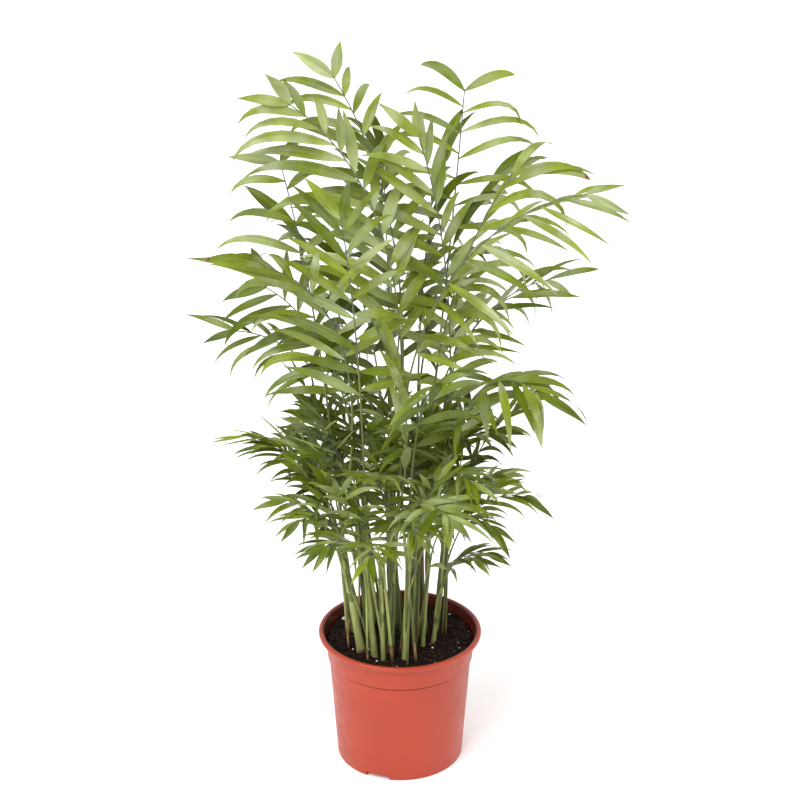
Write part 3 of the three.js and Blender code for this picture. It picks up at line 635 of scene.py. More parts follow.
class Gathered:
    """The faces of one kind of thing, which become one mesh."""

    def __init__(self):
        self.points = []
        self.faces = []
        self.finishes = []
        self.spots = []

    def grid(self, rows, finish_of=one_finish, closed=False):
        """Faces between rows of points of equal number. Finish_of gives each face its material."""
        start = len(self.points)
        width = len(rows[0])
        for row in rows:
            self.points.extend(row)
        for row in range(len(rows) - 1):
            for column in range(width if closed else width - 1):
                after = (column + 1) % width
                low = start + row * width
                high = low + width
                self.faces.append((low + column, low + after, high + after, high + column))
                self.finishes.append(finish_of(row, column))

    def lump(self, centre, radii, seed, finish=0):
        """A small uneven lump."""
        start = len(self.points)
        place = Vector([seed * step for step in LUMP_STEPS])
        for corner in LUMP_CORNERS:
            rough = 1 + LUMP_ROUGHNESS * noise.noise(corner * LUMP_WAVES + place)
            self.points.append(centre + Vector(corner[i] * radii[i] * rough for i in range(3)))
        for face in LUMP_FACES:
            self.faces.append(tuple(start + corner for corner in face))
            self.finishes.append(finish)

    def piece(self, name, materials):
        """The mesh object, in metres, riding on the plant's one body."""
        mesh = bpy.data.meshes.new(name)
        mesh.from_pydata([tuple(point * MM) for point in self.points], [], self.faces)
        for material in materials:
            mesh.materials.append(material)
        mesh.polygons.foreach_set("material_index", self.finishes)
        if self.spots:
            layer = mesh.uv_layers.new(name=BLADE_MAP)
            spots = [self.spots[corner] for face in self.faces for corner in face]
            layer.data.foreach_set("uv", [part for spot in spots for part in spot])
        mesh.update()
        mesh.shade_smooth()
        made = new_object(name, mesh)
        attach(made, "root")
        return made


def lump_shape():
    """The corners and faces of a twice-divided octahedron, for lumps."""
    tips = ((1, 0, 0), (-1, 0, 0), (0, 1, 0), (0, -1, 0), (0, 0, 1), (0, 0, -1))
    corners = [Vector(tip) for tip in tips]
    faces = [(0, 2, 4), (2, 1, 4), (1, 3, 4), (3, 0, 4), (2, 0, 5), (1, 2, 5), (3, 1, 5), (0, 3, 5)]
    for _ in range(2):
        halves = {}
        finer = []
        for a, b, c in faces:
            mids = []
            for pair in ((a, b), (b, c), (c, a)):
                key = tuple(sorted(pair))
                if key not in halves:
                    halves[key] = len(corners)
                    corners.append((corners[pair[0]] + corners[pair[1]]).normalized())
                mids.append(halves[key])
            ab, bc, ca = mids
            finer += [(a, ab, ca), (b, bc, ab), (c, ca, bc), (ab, bc, ca)]
        faces = finer
    return corners, faces


LUMP_CORNERS, LUMP_FACES = lump_shape()


def tube(gathered, centres, frames, radii, sides, finish_of=one_finish):
    """A tube along centres. Frames give each ring its two directions across."""
    rows = []
    for centre, (side, upper), radius in zip(centres, frames, radii):
        row = []
        for corner in range(sides):
            angle = 2 * math.pi * corner / sides
            beside, above = math.cos(angle) * radius, math.sin(angle) * radius
            row.append(centre + side * beside + upper * above)
        rows.append(row)
    rows.insert(0, [centres[0].copy() for _ in range(sides)])
    rows.append([centres[-1].copy() for _ in range(sides)])
    gathered.grid(rows, finish_of, closed=True)


# Pot


def arc(centre, radius, first, last, steps):
    """Points of a round stretch of an outline, from one angle to another."""
    points = []
    for step in range(steps + 1):
        angle = math.radians(between(first, last, step / steps))
        points.append((centre[0] + radius * math.cos(angle), centre[1] + radius * math.sin(angle)))
    return points


def turned_mesh(name, outline, sides):
    """A closed mesh turned about +Z from an outline of radii and heights, from axis to axis."""
    points = [(0, 0, outline[0][1] * MM), (0, 0, outline[-1][1] * MM)]
    rings = outline[1:-1]
    for radius, height in rings:
        for side in range(sides):
            spot = heading(360 * side / sides) * radius
            points.append((spot.x * MM, spot.y * MM, height * MM))
    faces = []
    for side in range(sides):
        after = (side + 1) % sides
        faces.append((0, 2 + after, 2 + side))
        for ring in range(len(rings) - 1):
            low = 2 + ring * sides
            faces.append((low + side, low + after, low + sides + after, low + sides + side))
        top = 2 + (len(rings) - 1) * sides
        faces.append((top + side, top + after, 1))
    mesh = bpy.data.meshes.new(name)
    mesh.from_pydata(points, [], faces)
    mesh.update()
    return mesh


def cutter(loop, low, high):
    """A prism that stands on a level loop of corners, from one height to another, for cutting."""
    count = len(loop)
    faces = [tuple(reversed(range(count))), tuple(range(count, 2 * count))]
    for corner in range(count):
        after = (corner + 1) % count
        faces.append((corner, after, count + after, count + corner))
    mesh = bpy.data.meshes.new("cutter")
    points = [(point + UP * height) * MM for height in (low, high) for point in loop]
    mesh.from_pydata([tuple(point) for point in points], [], faces)
    return new_object("cutter", mesh)


def cut_from(made, cutters):
    """Cuts each cutter from a mesh object and removes it."""
    for tool in cutters:
        modifier = made.modifiers.new("cut", "BOOLEAN")
        modifier.operation = "DIFFERENCE"
        modifier.solver = "EXACT"
        modifier.object = tool
        bpy.context.view_layer.update()
        evaluated = made.evaluated_get(bpy.context.evaluated_depsgraph_get())
        cut = bpy.data.meshes.new_from_object(evaluated)
        made.modifiers.clear()
        old = made.data
        made.data = cut
        bpy.data.meshes.remove(old)
        bpy.data.objects.remove(tool)


def pot_outline(settings):
    """The pot's outline, from the middle of its underside, up the outside and down the inside."""
    top = settings.height / MM
    lip = settings.lip_radius / MM
    wall = settings.wall / MM
    lip_foot = top - LIP_HEIGHT
    collar_foot = lip_foot - COLLAR_HEIGHT
    lip_middle = lip - LIP_ROUND
    undercut = BODY_TOP_RADIUS - UNDERCUT_DEPTH
    floor_top = GROOVE_DEPTH + wall
    slope = (BODY_TOP_RADIUS - BODY_FOOT_RADIUS) / collar_foot
    return [
        (0, 0), (GROOVE_INNER, 0), (GROOVE_INNER, GROOVE_DEPTH), (GROOVE_OUTER, GROOVE_DEPTH),
        (GROOVE_OUTER, 0),
        *arc((BODY_FOOT_RADIUS - FOOT_ROUND, FOOT_ROUND), FOOT_ROUND, -90, 0, steps=6),
        (BODY_TOP_RADIUS, collar_foot - UNDERCUT_FOOT), (undercut, collar_foot - UNDERCUT_WAIST),
        (undercut, collar_foot - UNDERCUT_TOP),
        *arc((COLLAR_FOOT_RADIUS - COLLAR_FOOT_ROUND, collar_foot + COLLAR_FOOT_ROUND),
             COLLAR_FOOT_ROUND, -90, 0, steps=4),
        (COLLAR_TOP_RADIUS - COLLAR_TOP_EASE, lip_foot - LIP_FLARE),
        (COLLAR_TOP_RADIUS + LIP_FLARE, lip_foot),
        *arc((lip_middle, lip_foot + LIP_UNDER_ROUND), LIP_UNDER_ROUND, -90, -10, steps=5),
        *arc((lip_middle, top - LIP_ROUND), LIP_ROUND, 0, 90, steps=8),
        *arc((LIP_INNER_RADIUS + LIP_INNER_ROUND, top - LIP_INNER_ROUND), LIP_INNER_ROUND, 90, 180,
             steps=7),
        (COLLAR_TOP_RADIUS - wall, lip_foot - COLLAR_INNER_DROP),
        (COLLAR_FOOT_RADIUS - wall, collar_foot), (BODY_TOP_RADIUS - wall, collar_foot - wall),
        (BODY_FOOT_RADIUS - wall + slope * floor_top, floor_top),
        (GROOVE_INNER - wall, floor_top), (GROOVE_INNER - wall, wall), (0, wall),
    ]


def build_pot(settings):
    """The pot with its drainage notches and holes cut."""
    made = new_object("pot_shell", turned_mesh("pot_shell", pot_outline(settings), POT_SIDES))
    tools = []
    for count in range(NOTCH_COUNT):
        out = heading(NOTCH_TURN + 360 / NOTCH_COUNT * count)
        across = UP.cross(out) * (NOTCH_WIDTH / 2)
        loop = [out * NOTCH_START - across, out * NOTCH_END - across * NOTCH_FLARE,
                out * NOTCH_END + across * NOTCH_FLARE, out * NOTCH_START + across]
        tools.append(cutter(loop, -CUT_MARGIN, GROOVE_DEPTH))
    for count in range(HOLE_COUNT):
        centre = heading(360 / HOLE_COUNT * count) * ((GROOVE_INNER + GROOVE_OUTER) / 2)
        loop = [centre + heading(360 * corner / HOLE_CORNERS) * HOLE_RADIUS
                for corner in range(HOLE_CORNERS)]
        tools.append(cutter(loop, GROOVE_DEPTH - CUT_MARGIN, GROOVE_DEPTH + 2 * CUT_MARGIN))
    cut_from(made, tools)
    mesh = made.data
    mesh.shade_smooth()
    mesh.set_sharp_from_angle(angle=math.radians(POT_SHARP_ANGLE))
    mesh.materials.clear()
    mesh.materials.append(pot_material("Moulded polypropylene", settings.colour))
    # Painted shade: the inward faces of the wall are drawn far darker, for the shade that falls
    # inside the pot.
    inner_wall_shaded_colour = shade(settings.colour, INNER_WALL_PAINTED_SHADE)
    mesh.materials.append(pot_material("Polypropylene smeared with peat", inner_wall_shaded_colour))
    for face in mesh.polygons:
        inward = face.normal.dot(face.center * Vector((1, 1, 0))) < 0
        if inward and face.center.z > GROOVE_DEPTH * MM * 2:
            face.material_index = INNER_WALL_SHADE_FINISH
    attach(made, "root")
    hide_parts("pot")


# Compost


def compost_radius():
    """The compost's radius at its top, pressed a little into the pot."""
    return COMPOST_HIGH.x / MM + COMPOST_SQUEEZE


def compost_height(x, y):
    """The height of the compost's uneven top at a place."""
    humps = noise.fractal(Vector((x, y, HUMP_LAYER)) / HUMP_SPAN, *HUMP_NOISE)
    crumbs = noise.turbulence(Vector((x, y, CRUMB_LAYER)) / CRUMB_SPAN, *CRUMB_NOISE)
    banked = COMPOST_BANK * (math.hypot(x, y) / compost_radius()) ** BANK_POWER
    return (COMPOST_HIGH.z / MM + humps * HUMP_HEIGHT + crumbs * CRUMB_HEIGHT + banked
            - COMPOST_SETTLED)


def compost_spot(x, y):
    """The point of the compost's top at a place."""
    return Vector((x, y, compost_height(x, y)))


def build_compost(settings):
    """The compost with a crumbly top, filling the pot down to its floor."""
    body = Gathered()
    radius = compost_radius()
    turns = [heading(360 * side / COMPOST_SIDES) for side in range(COMPOST_SIDES)]
    rows = []
    for ring in range(COMPOST_RINGS + 1):
        reach = radius * ring / COMPOST_RINGS
        rows.append([compost_spot((out * reach).x, (out * reach).y) for out in turns])
    floor = COMPOST_LOW.z / MM + GROOVE_DEPTH
    foot_radius = BODY_FOOT_RADIUS - COMPOST_FOOT_INSET
    waist = (radius - COMPOST_WAIST_INSET, COMPOST_WAIST_HEIGHT)
    for reach, height in (waist, (foot_radius, floor), (0, floor)):
        rows.append([out * reach + UP * height for out in turns])
    body.grid(rows[::-1], closed=True)
    made = body.piece("compost_fill", [compost_material()])
    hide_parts("compost")


def clear_of_canes(x, y):
    """Whether a place on the compost is clear of every cane."""
    return all(math.hypot(x - cane["x"], y - cane["y"]) > cane["foot"] + SCATTER_GAP
               for cane in CANES)


def scatter(seed, count):
    """Places on the compost's top, clear of the canes, each with the dice that it came from."""
    dice = Random(seed)
    radius = compost_radius() * SCATTER_REACH
    places = []
    while len(places) < count:
        reach = radius * math.sqrt(dice.random())
        spot = heading(dice.uniform(0, 360)) * reach
        if clear_of_canes(spot.x, spot.y):
            places.append((compost_spot(spot.x, spot.y), dice))
    return places


def grain_size(dice, least, spread, power):
    """The size of a grain, of which most are small."""
    return least + spread * dice.random() ** power


def build_crumbs(settings):
    """Crumbs of peat and bark, white perlite, root fibres and one pebble, lying on the compost."""
    crumbs = Gathered()
    for index, (spot, dice) in enumerate(scatter(CRUMB_SEED, settings.crumb_count)):
        size = grain_size(dice, *CRUMB_SIZE)
        radii = (size * dice.uniform(*CRUMB_LENGTHS), size * dice.uniform(*CRUMB_WIDTHS),
                 size * CRUMB_THICKNESS)
        finish = PEAT if dice.random() < PEAT_SHARE else BARK
        crumbs.lump(spot + UP * size * CRUMB_LIFT, radii, index, finish)
    peat = crumb_material("Peat crumb", light="21110A", dark="0F0704", roughness=0.9)
    bark = crumb_material("Bark chip", light="2F1A10", dark="180C07", roughness=0.85)
    made = crumbs.piece("compost_crumbs", [peat, bark])
    perlite = Gathered()
    for index, (spot, dice) in enumerate(scatter(PERLITE_SEED, settings.perlite_count)):
        size = grain_size(dice, *PERLITE_SIZE)
        radii = [size * part for part in PERLITE_SHAPE]
        perlite.lump(spot + UP * size * PERLITE_LIFT, radii, index)
    perlite.lump(compost_spot(*PEBBLE_PLACE) + UP, PEBBLE_RADII, PEBBLE_SEED)
    white = crumb_material("Perlite", light="EDE8DF", dark="BDB3A5", roughness=0.7)
    made = perlite.piece("compost_perlite", [white])
    fibres = Gathered()
    for spot, dice in scatter(FIBRE_SEED, settings.fibre_count):
        out = heading(dice.uniform(0, 360))
        across = UP.cross(out)
        reach = dice.uniform(*FIBRE_LENGTHS)
        bow = dice.uniform(-FIBRE_BOW, FIBRE_BOW)
        centres = []
        for step in range(len(FIBRE_RADII)):
            share = step / (len(FIBRE_RADII) - 1)
            arch = math.sin(math.pi * share)
            raised = spot + UP * (FIBRE_LIFT + FIBRE_ARCH * arch)
            centres.append(raised + out * reach * (share - 0.5) + across * reach * bow * arch)
        tube(fibres, centres, [(across, UP)] * len(centres), FIBRE_RADII, FIBRE_SIDES)
    root = crumb_material("Root fibre", light="6B4A30", dark="3A2415", roughness=0.8)
    made = fibres.piece("compost_fibres", [root])


# Canes


def cane_axis(cane):
    """The direction in which a cane grows."""
    tilt = math.radians(cane["tilt"])
    return UP * math.cos(tilt) + heading(cane["turn"]) * math.sin(tilt)


def cane_point(cane, height):
    """The middle of a cane at a height along it."""
    return Vector((cane["x"], cane["y"], COMPOST_HIGH.z / MM)) + cane_axis(cane) * height


def cane_radius(cane, height):
    """A cane's radius at a height along it."""
    return between(cane["foot"], cane["tip"], min(1, height / cane["length"]))


def cane_frame(cane):
    """Two directions across a cane."""
    axis = cane_axis(cane)
    side = axis.cross(Vector((0, 1, 0))).normalized()
    return side, axis.cross(side)


def build_canes(settings):
    """The canes: flared and browned at the foot, with faint rings where old sheaths came away."""
    stems = Gathered()
    for index, cane in enumerate(CANES):
        length = cane["length"]
        scars = [length * (share + SCAR_WAVER * wobble(index, count))
                 for count, share in enumerate(SCAR_SHARES)]
        centres, radii = [], []
        for step in range(CANE_STEPS + 1):
            height = between(-CANE_SINK, length, step / CANE_STEPS)
            radius = cane_radius(cane, max(height, 0))
            radius *= 1 + CANE_FLARE * math.exp(-max(height, 0) / CANE_FLARE_HEIGHT)
            for scar in scars:
                radius += SCAR_RISE * math.exp(-((height - scar) / SCAR_HEIGHT) ** 2)
            centres.append(cane_point(cane, height))
            radii.append(radius)
        brown = BROWN_CANE_RINGS if stray(index, "brown cane") > BROWN_CANE_LIMIT else 0
        tube(stems, centres, [cane_frame(cane)] * len(centres), radii, CANE_SIDES,
             lambda row, column: BROWN_CANE if row < brown else GREEN_CANE)
    green = stalk_material("Green cane", settings.colour, roughness=0.42)
    made = stems.piece("canes", [green, bpy.data.materials["Dry sheath"]])
    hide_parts(*(f"cane_{index + 1}" for index in range(len(CANES))))


# Fronds


def frond_path(foot, frond):
    """The points of a rib from its foot, each with its direction, its side and its upper face."""
    out = heading(frond["turn"])
    across = UP.cross(out)
    bend = frond.get("bend", BEND)
    roll = math.radians(frond.get("roll", 0))

    def along_at(step):
        angle = math.radians(between(frond["lean"], frond["nod"], (step / RIB_STEPS) ** bend))
        return UP * math.cos(angle) + out * math.sin(angle)

    point = foot.copy()
    path = []
    for step in range(RIB_STEPS + 1):
        along = along_at(step)
        turned = Quaternion(along, roll)
        path.append((point.copy(), along, turned @ across, turned @ along.cross(across)))
        point += along_at(step + 0.5) * (frond["length"] / RIB_STEPS)
    return path


def path_at(path, share):
    """The point, direction, side and upper face of a rib at a share of its length."""
    step = min(int(share * RIB_STEPS), RIB_STEPS - 1)
    part = share * RIB_STEPS - step
    return tuple(path[step][i].lerp(path[step + 1][i], part) for i in range(4))


def frond_foot(cane, frond, rib_foot):
    """The foot of a rib, sunk a little in its cane, on the side to which it parts from the cane."""
    tilt = math.radians(cane["tilt"])
    parting = heading(frond["turn"]) * math.tan(math.radians(frond["lean"]))
    parting = (parting - heading(cane["turn"]) * math.tan(tilt)).normalized()
    offset = cane_radius(cane, frond["at"]) + rib_foot * RIB_SINK
    return cane_point(cane, frond["at"]) + parting * (offset / math.cos(tilt))


def add_rib(gathered, cane, frond, path, foot_radius, tip_radius):
    """A rib: round, tapering, darker up the blade than on its stalk, and run on down its cane."""
    bare, seed, at = frond["bare"], frond["seed"], frond["at"]
    across_cane = cane_frame(cane)
    parting = path[0][0] - cane_point(cane, at)
    own_foot = stray(seed, "own foot") > OWN_FOOT_LIMIT
    if own_foot:
        low = -OWN_FOOT_SINK
        reach = OWN_FOOT_REACH * parting.length + OWN_FOOT_GAP
        aside = heading(180 * stray(seed, "aside")) * reach
    else:
        low = max(HUG_LOWEST, at * (HUG_SHARE + HUG_WAVER * stray(seed, "low end")))
        aside = parting * HUG_INSET
    centres, frames, radii = [], [], []
    for step in range(RUN_DOWN_STEPS):
        share = step / RUN_DOWN_STEPS
        if own_foot:
            drawn, thick = share, OWN_FOOT_SWELL - OWN_FOOT_TAPER * share
        else:
            drawn, thick = min(1, share * HUG_RATE), min(1, HUG_START + HUG_GAIN * share)
        centres.append(cane_point(cane, between(low, at, share)) + aside.lerp(parting, drawn))
        frames.append(across_cane)
        radii.append(foot_radius * thick)
    for step, (point, along, beside, upper) in enumerate(path):
        centres.append(point)
        frames.append((beside, upper) if step else across_cane)
        radii.append(between(foot_radius, tip_radius, (step / RIB_STEPS) ** RIB_TAPER_POWER))

    draw = stray(seed, "stalk")
    stalk = SHADED_STALK if draw > SHADED_ABOVE else RUSSET_STALK if draw < RUSSET_BELOW else STALK
    brown_foot = own_foot and stray(seed, "brown foot") > BROWN_FOOT_LIMIT

    def finish_of(row, column):
        share = (row - RUN_DOWN_STEPS) / RIB_STEPS
        if brown_foot and row < BROWN_FOOT_RINGS:
            return DRY_STALK
        if share < bare * STALK_TOP_FROM:
            return stalk
        return STALK_TOP if share < bare + RIB_PAST_BARE else RIB

    tube(gathered, centres, frames, radii, RIB_SIDES, finish_of)


def add_sheath(gathered, cane, frond, path, rib_foot):
    """The sheath that wraps a cane below a stalk and draws in to the stalk's foot."""
    low = max(SHEATH_LOWEST, frond["at"] - SHEATH_LENGTH)
    centres, radii = [], []
    for step in range(SHEATH_STEPS + 1):
        share = step / SHEATH_STEPS
        height = between(low, frond["at"] + SHEATH_OVERLAP, share)
        draw = max(0, (share - SHEATH_DRAWN_FROM) / (1 - SHEATH_DRAWN_FROM)) ** 2
        centres.append(cane_point(cane, height).lerp(path[0][0], draw))
        stand = between(SHEATH_FOOT_STAND, SHEATH_STAND, min(1, share * SHEATH_RISE))
        radii.append(between(cane_radius(cane, height) + stand, rib_foot * SHEATH_TOP, draw))
    for step, extra in SHEATH_MOUTH:
        centres.append(path[step][0])
        radii.append(rib_foot * extra)
    tube(gathered, centres, [cane_frame(cane)] * len(centres), radii, SHEATH_SIDES)


def outline_at(share, fall):
    """A blade's half width at a share of its length, as a share of its widest."""
    widest = BLADE_RISE / (BLADE_RISE + fall)
    return (share / widest) ** BLADE_RISE * ((1 - share) / (1 - widest)) ** fall


def spine(root, out, length, bow):
    """A leaflet's middle line: points and directions as it bends over, ever more, from its root."""
    level = Vector((out.x, out.y, 0)).normalized()
    start = math.degrees(math.acos(max(-1, min(1, out.z))))
    point = root.copy()
    line = [(point.copy(), out)]
    for low, high in zip(BLADE_STATIONS, BLADE_STATIONS[1:]):
        for share in (low, between(low, high, 0.5), high):
            angle = math.radians(min(start + bow * share ** BOW_POWER, max(HANGING, start)))
            straight = UP * math.cos(angle) + level * math.sin(angle)
            point += straight * (length * (high - low) / 3)
        line.append((point.copy(), straight))
    return line


def facing_turn(forward, along):
    """How far a leaflet turns on its stalk to bring its nearer face part of the way to light."""
    width_way = (along - forward * along.dot(forward)).normalized()
    face = width_way.cross(forward)
    wanted = LIGHT_SIDE - forward * LIGHT_SIDE.dot(forward)
    turn = math.degrees(math.atan2(face.cross(wanted).dot(forward), face.dot(wanted)))
    return math.radians(FACING * ((turn + 90) % 180 - 90))


def add_leaflet(gathered, root, out, along, hand, size, dry_tip):
    """A leaflet: a pleated blade, folded to a gutter at its foot and drawn out to a fine tip."""
    length, width, bow, twist, sweep, fold, fall = size
    facing = facing_turn(out, along)
    # Each leaflet has its own stretch of the blade map, so that no two have the same veins.
    first = BLADE_MAP_GAP * len(gathered.spots)
    rows = []
    for share, (point, straight) in zip(BLADE_STATIONS, spine(root, out, length, bow)):
        centre = point + along * (length * sweep * share * share)
        forward = (straight + along * (2 * sweep * share)).normalized()
        width_way = (along - forward * along.dot(forward)).normalized()
        width_way = Quaternion(forward, facing + twist * share) @ width_way
        face = width_way.cross(forward) * hand
        half = max(outline_at(share, fall) if share else STEM_WIDTH, POINT_WIDTH) * width / 2
        gutter = fold * (1 - GUTTER_LOSS * share)
        row = []
        for across in BLADE_ACROSS:
            pleat = PLEAT_RISE if abs(across) == PLEAT_PLACE else 0
            rise = abs(across) * gutter + pleat
            row.append(centre + width_way * (half * across) + face * (half * rise))
            gathered.spots.append((across, first + share))
        rows.append(row)
    dry_from = DRY_STATION if dry_tip else len(BLADE_STATIONS)

    def finish_of(row, column):
        if row >= dry_from:
            return DRY_TIP
        return MIDRIB if column == MIDRIB_COLUMN else BLADE

    gathered.grid(rows, finish_of)


def add_leaflets(kinds, frond, path, settings):
    """The leaflets of a frond, nearly in pairs, up its blade."""
    bare, seed, own = frond["bare"], frond["seed"], frond.get
    pairs = max(FEWEST_PAIRS, round(frond["length"] * (1 - bare) / frond["spacing"]))
    for index in range(pairs * 2):
        pair, hand = index // 2, 1 if index % 2 == 0 else -1
        last = pair == pairs - 1
        strays = {thing: wobble(seed, start + index) for thing, start in LEAFLET_STRAYS.items()}
        share = pair / (pairs - 1)
        place = share
        if not last:
            aside = HAND_SHIFT * hand + PLACE_WAVER * strays["place"]
            place = max(0, share + aside / pairs / 2)
        place *= 1 + CROWDING * (1 - place)
        root, along, side, upper = path_at(path, bare + (1 - bare) * min(place, LAST_PLACE))
        spread = between(own("spread", SPREAD_FOOT), own("spread_tip", SPREAD_TIP), share ** 2)
        spread = math.radians(spread + SPREAD_WAVER * strays["spread"])
        length = frond["leaflet"] * (1 - own("fall", LONGEST_FALL) * (share - LONGEST_SHARE) ** 2)
        length *= 1 + LENGTH_WAVER * strays["length"]
        bow = own("bow", BOW) * (1 + BOW_WAVER * strays["bow"])
        lift = math.radians(own("lift", LIFT) + LIFT_WAVER * strays["lift"])
        out = along * math.cos(spread) + side * (hand * math.sin(spread) * math.cos(lift))
        out = (out + upper * (math.sin(spread) * math.sin(lift))).normalized()
        width = settings.leaflet_width / MM * math.sqrt(length / USUAL_LENGTH)
        width *= 1 + WIDTH_WAVER * strays["width"]
        width *= own("width", 1)
        if last:
            length *= TERMINAL_LENGTH
            width *= TERMINAL_WIDTH * own("terminal", 1)
            bow *= TERMINAL_BOW
        length *= own("left" if hand > 0 else "right", 1) ** (TERMINAL_HAND if last else 1)
        twist = TWIST_WAVER * strays["twist"]
        sweep = SWEEP + SWEEP_WAVER * strays["sweep"]
        fold = FOLD + FOLD_WAVER * strays["fold"]
        tone = frond["tone"] + round(TONE_WAVER * strays["tone"])
        dry = strays["tip"] > DRY_LIMIT
        kind = kinds[TONES[min(max(tone, 0), len(TONES) - 1)]]
        # The leaflet at the tip is blunt where it is long, or where its row gives it a width.
        blunt = last and (length > LONG_LEAFLET or "terminal" in frond)
        size = (length, width, bow, twist, sweep, fold, TERMINAL_FALL if blunt else BLADE_FALL)
        add_leaflet(kind, root, out, along, hand, size, dry)


def leaf_pieces(kinds, settings, prefix):
    """A piece for each tone of leaf, with its blades, midribs and dry tips."""
    for tone, gathered in kinds.items():
        if not gathered.points:
            continue
        colour, gloss = getattr(settings, tone), GLOSS[tone]
        pale = shade(colour, MIDRIB_SHADE)
        materials = [leaf_material(f"{prefix} blade {tone}", colour, BLADE_ROUGHNESS, gloss),
                     leaf_material(f"{prefix} midrib {tone}", pale, MIDRIB_ROUGHNESS, gloss),
                     bpy.data.materials["Dry sheath"]]
        made = gathered.piece(f"{prefix}_leaflets_{tone}", materials)


def rib_materials(settings, prefix):
    """The materials of ribs, in the order of their finishes."""
    return [
        stalk_material(f"{prefix} stalk", settings.stalk, roughness=0.45),
        stalk_material(f"{prefix} stalk top", shade(settings.stalk, 0.6), roughness=0.48),
        stalk_material(f"{prefix} rib", settings.rib, roughness=0.5),
        stalk_material(f"{prefix} stalk shaded", shade(settings.stalk, 0.4), roughness=0.45),
        stalk_material(f"{prefix} stalk russet", linear("7A5A38"), roughness=0.55),
        bpy.data.materials["Dry sheath"],
    ]


def gather_fronds(fronds, rib_foot, rib_tip, settings):
    """The ribs, the sheaths and the leaflets of each tone, of one kind of frond."""
    ribs, sheaths = Gathered(), Gathered()
    kinds = {tone: Gathered() for tone in TONES}
    for frond in fronds:
        cane = CANES[frond["cane"] - 1]
        path = frond_path(frond_foot(cane, frond, rib_foot), frond)
        add_rib(ribs, cane, frond, path, rib_foot, rib_tip)
        add_sheath(sheaths, cane, frond, path, rib_foot)
        add_leaflets(kinds, frond, path, settings)
    return ribs, sheaths, kinds


def all_fronds(settings):
    """The tall fronds with what their rows leave unsaid. Those at the back are drawn a darker green
    as painted shade.
    """
    fronds = []
    for index, frond in enumerate(FRONDS):
        front = FRESH if stray(index, "tone") > 0 else LIME
        # Painted shade: the back fronds take the darker mid tone.
        tone = MID if index >= FRONT_FRONDS else front
        fronds.append({"bare": BARE, "spacing": settings.spacing / MM, "seed": index + 1,
                       "tone": tone, **frond})
    return fronds


def build_fronds(settings):
    """The tall fronds."""
    ribs, sheaths, kinds = gather_fronds(all_fronds(settings), RIB_FOOT, RIB_TIP, settings)
    made = ribs.piece("frond_ribs", rib_materials(settings, "Frond"))
    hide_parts(*(f"frond_{index + 1}" for index in range(len(FRONDS))))
    green = stalk_material("Green sheath", shade(settings.stalk, 1.1), roughness=0.5)
    made = sheaths.piece("frond_sheaths", [green])
    leaf_pieces(kinds, settings, "frond")


def all_low_fronds(settings):
    """The low fronds and, at each, some finer ones that part from it to either side."""
    fronds = []
    for index, frond in enumerate(LOW_FRONDS):
        base = {"bare": LOW_BARE, "leaflet": LOW_LEAFLET, "width": LOW_WIDTH, "bow": LOW_BOW,
                "spread": LOW_SPREAD, "spread_tip": LOW_SPREAD_TIP, **frond}
        extras = base.pop("extras", EXTRA_LOW_FRONDS)
        fronds.append({**base, "seed": LOW_SEED + index})
        highest = CANES[base["cane"] - 1]["length"] - EXTRA_BELOW_TIP
        for count in range(extras):
            hand = 1 if (index + count) % 2 == 0 else -1
            drift = stray(index, "extra", count)
            fronds.append({
                **base,
                "seed": 2 * LOW_SEED + index * EXTRA_LOW_FRONDS + count,
                "at": min(highest, base["at"] + EXTRA_RISE + EXTRA_RISE_WAVER * drift),
                "turn": base["turn"] + hand * (EXTRA_TURN + EXTRA_TURN_WAVER * drift),
                "length": base["length"] * (EXTRA_LENGTH + EXTRA_LENGTH_WAVER * drift),
                "nod": base["nod"] * (EXTRA_NOD + EXTRA_NOD_WAVER * drift),
            })
    spacing = settings.low_spacing / MM
    return [{"spacing": spacing, "tone": MID if stray(frond["seed"], "low tone") > 0 else FRESH,
             **frond} for frond in fronds]


def build_low_fronds(settings):
    """The skirt of short fronds."""
    fronds = all_low_fronds(settings)
    ribs, sheaths, kinds = gather_fronds(fronds, LOW_RIB_FOOT, LOW_RIB_TIP, settings)
    made = ribs.piece("low_frond_ribs", rib_materials(settings, "Low frond"))
    groups = [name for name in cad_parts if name.startswith("low_fronds_")]
    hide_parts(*groups)
    green = stalk_material("Low sheath", shade(settings.stalk, 0.95), roughness=0.5)
    made = sheaths.piece("low_frond_sheaths", [green])
    leaf_pieces(kinds, settings, "low_frond")


# Stage


def wide_light(name, side, strength, width):
    """Even light from one side, from a patch of the sky of a width in degrees."""
    light = bpy.data.lights.new(name, "SUN")
    light.energy = strength
    light.angle = math.radians(width)
    made = new_object(name, light)
    made.location = side
    made.rotation_euler = (-Vector(side)).to_track_quat("-Z", "Y").to_euler()


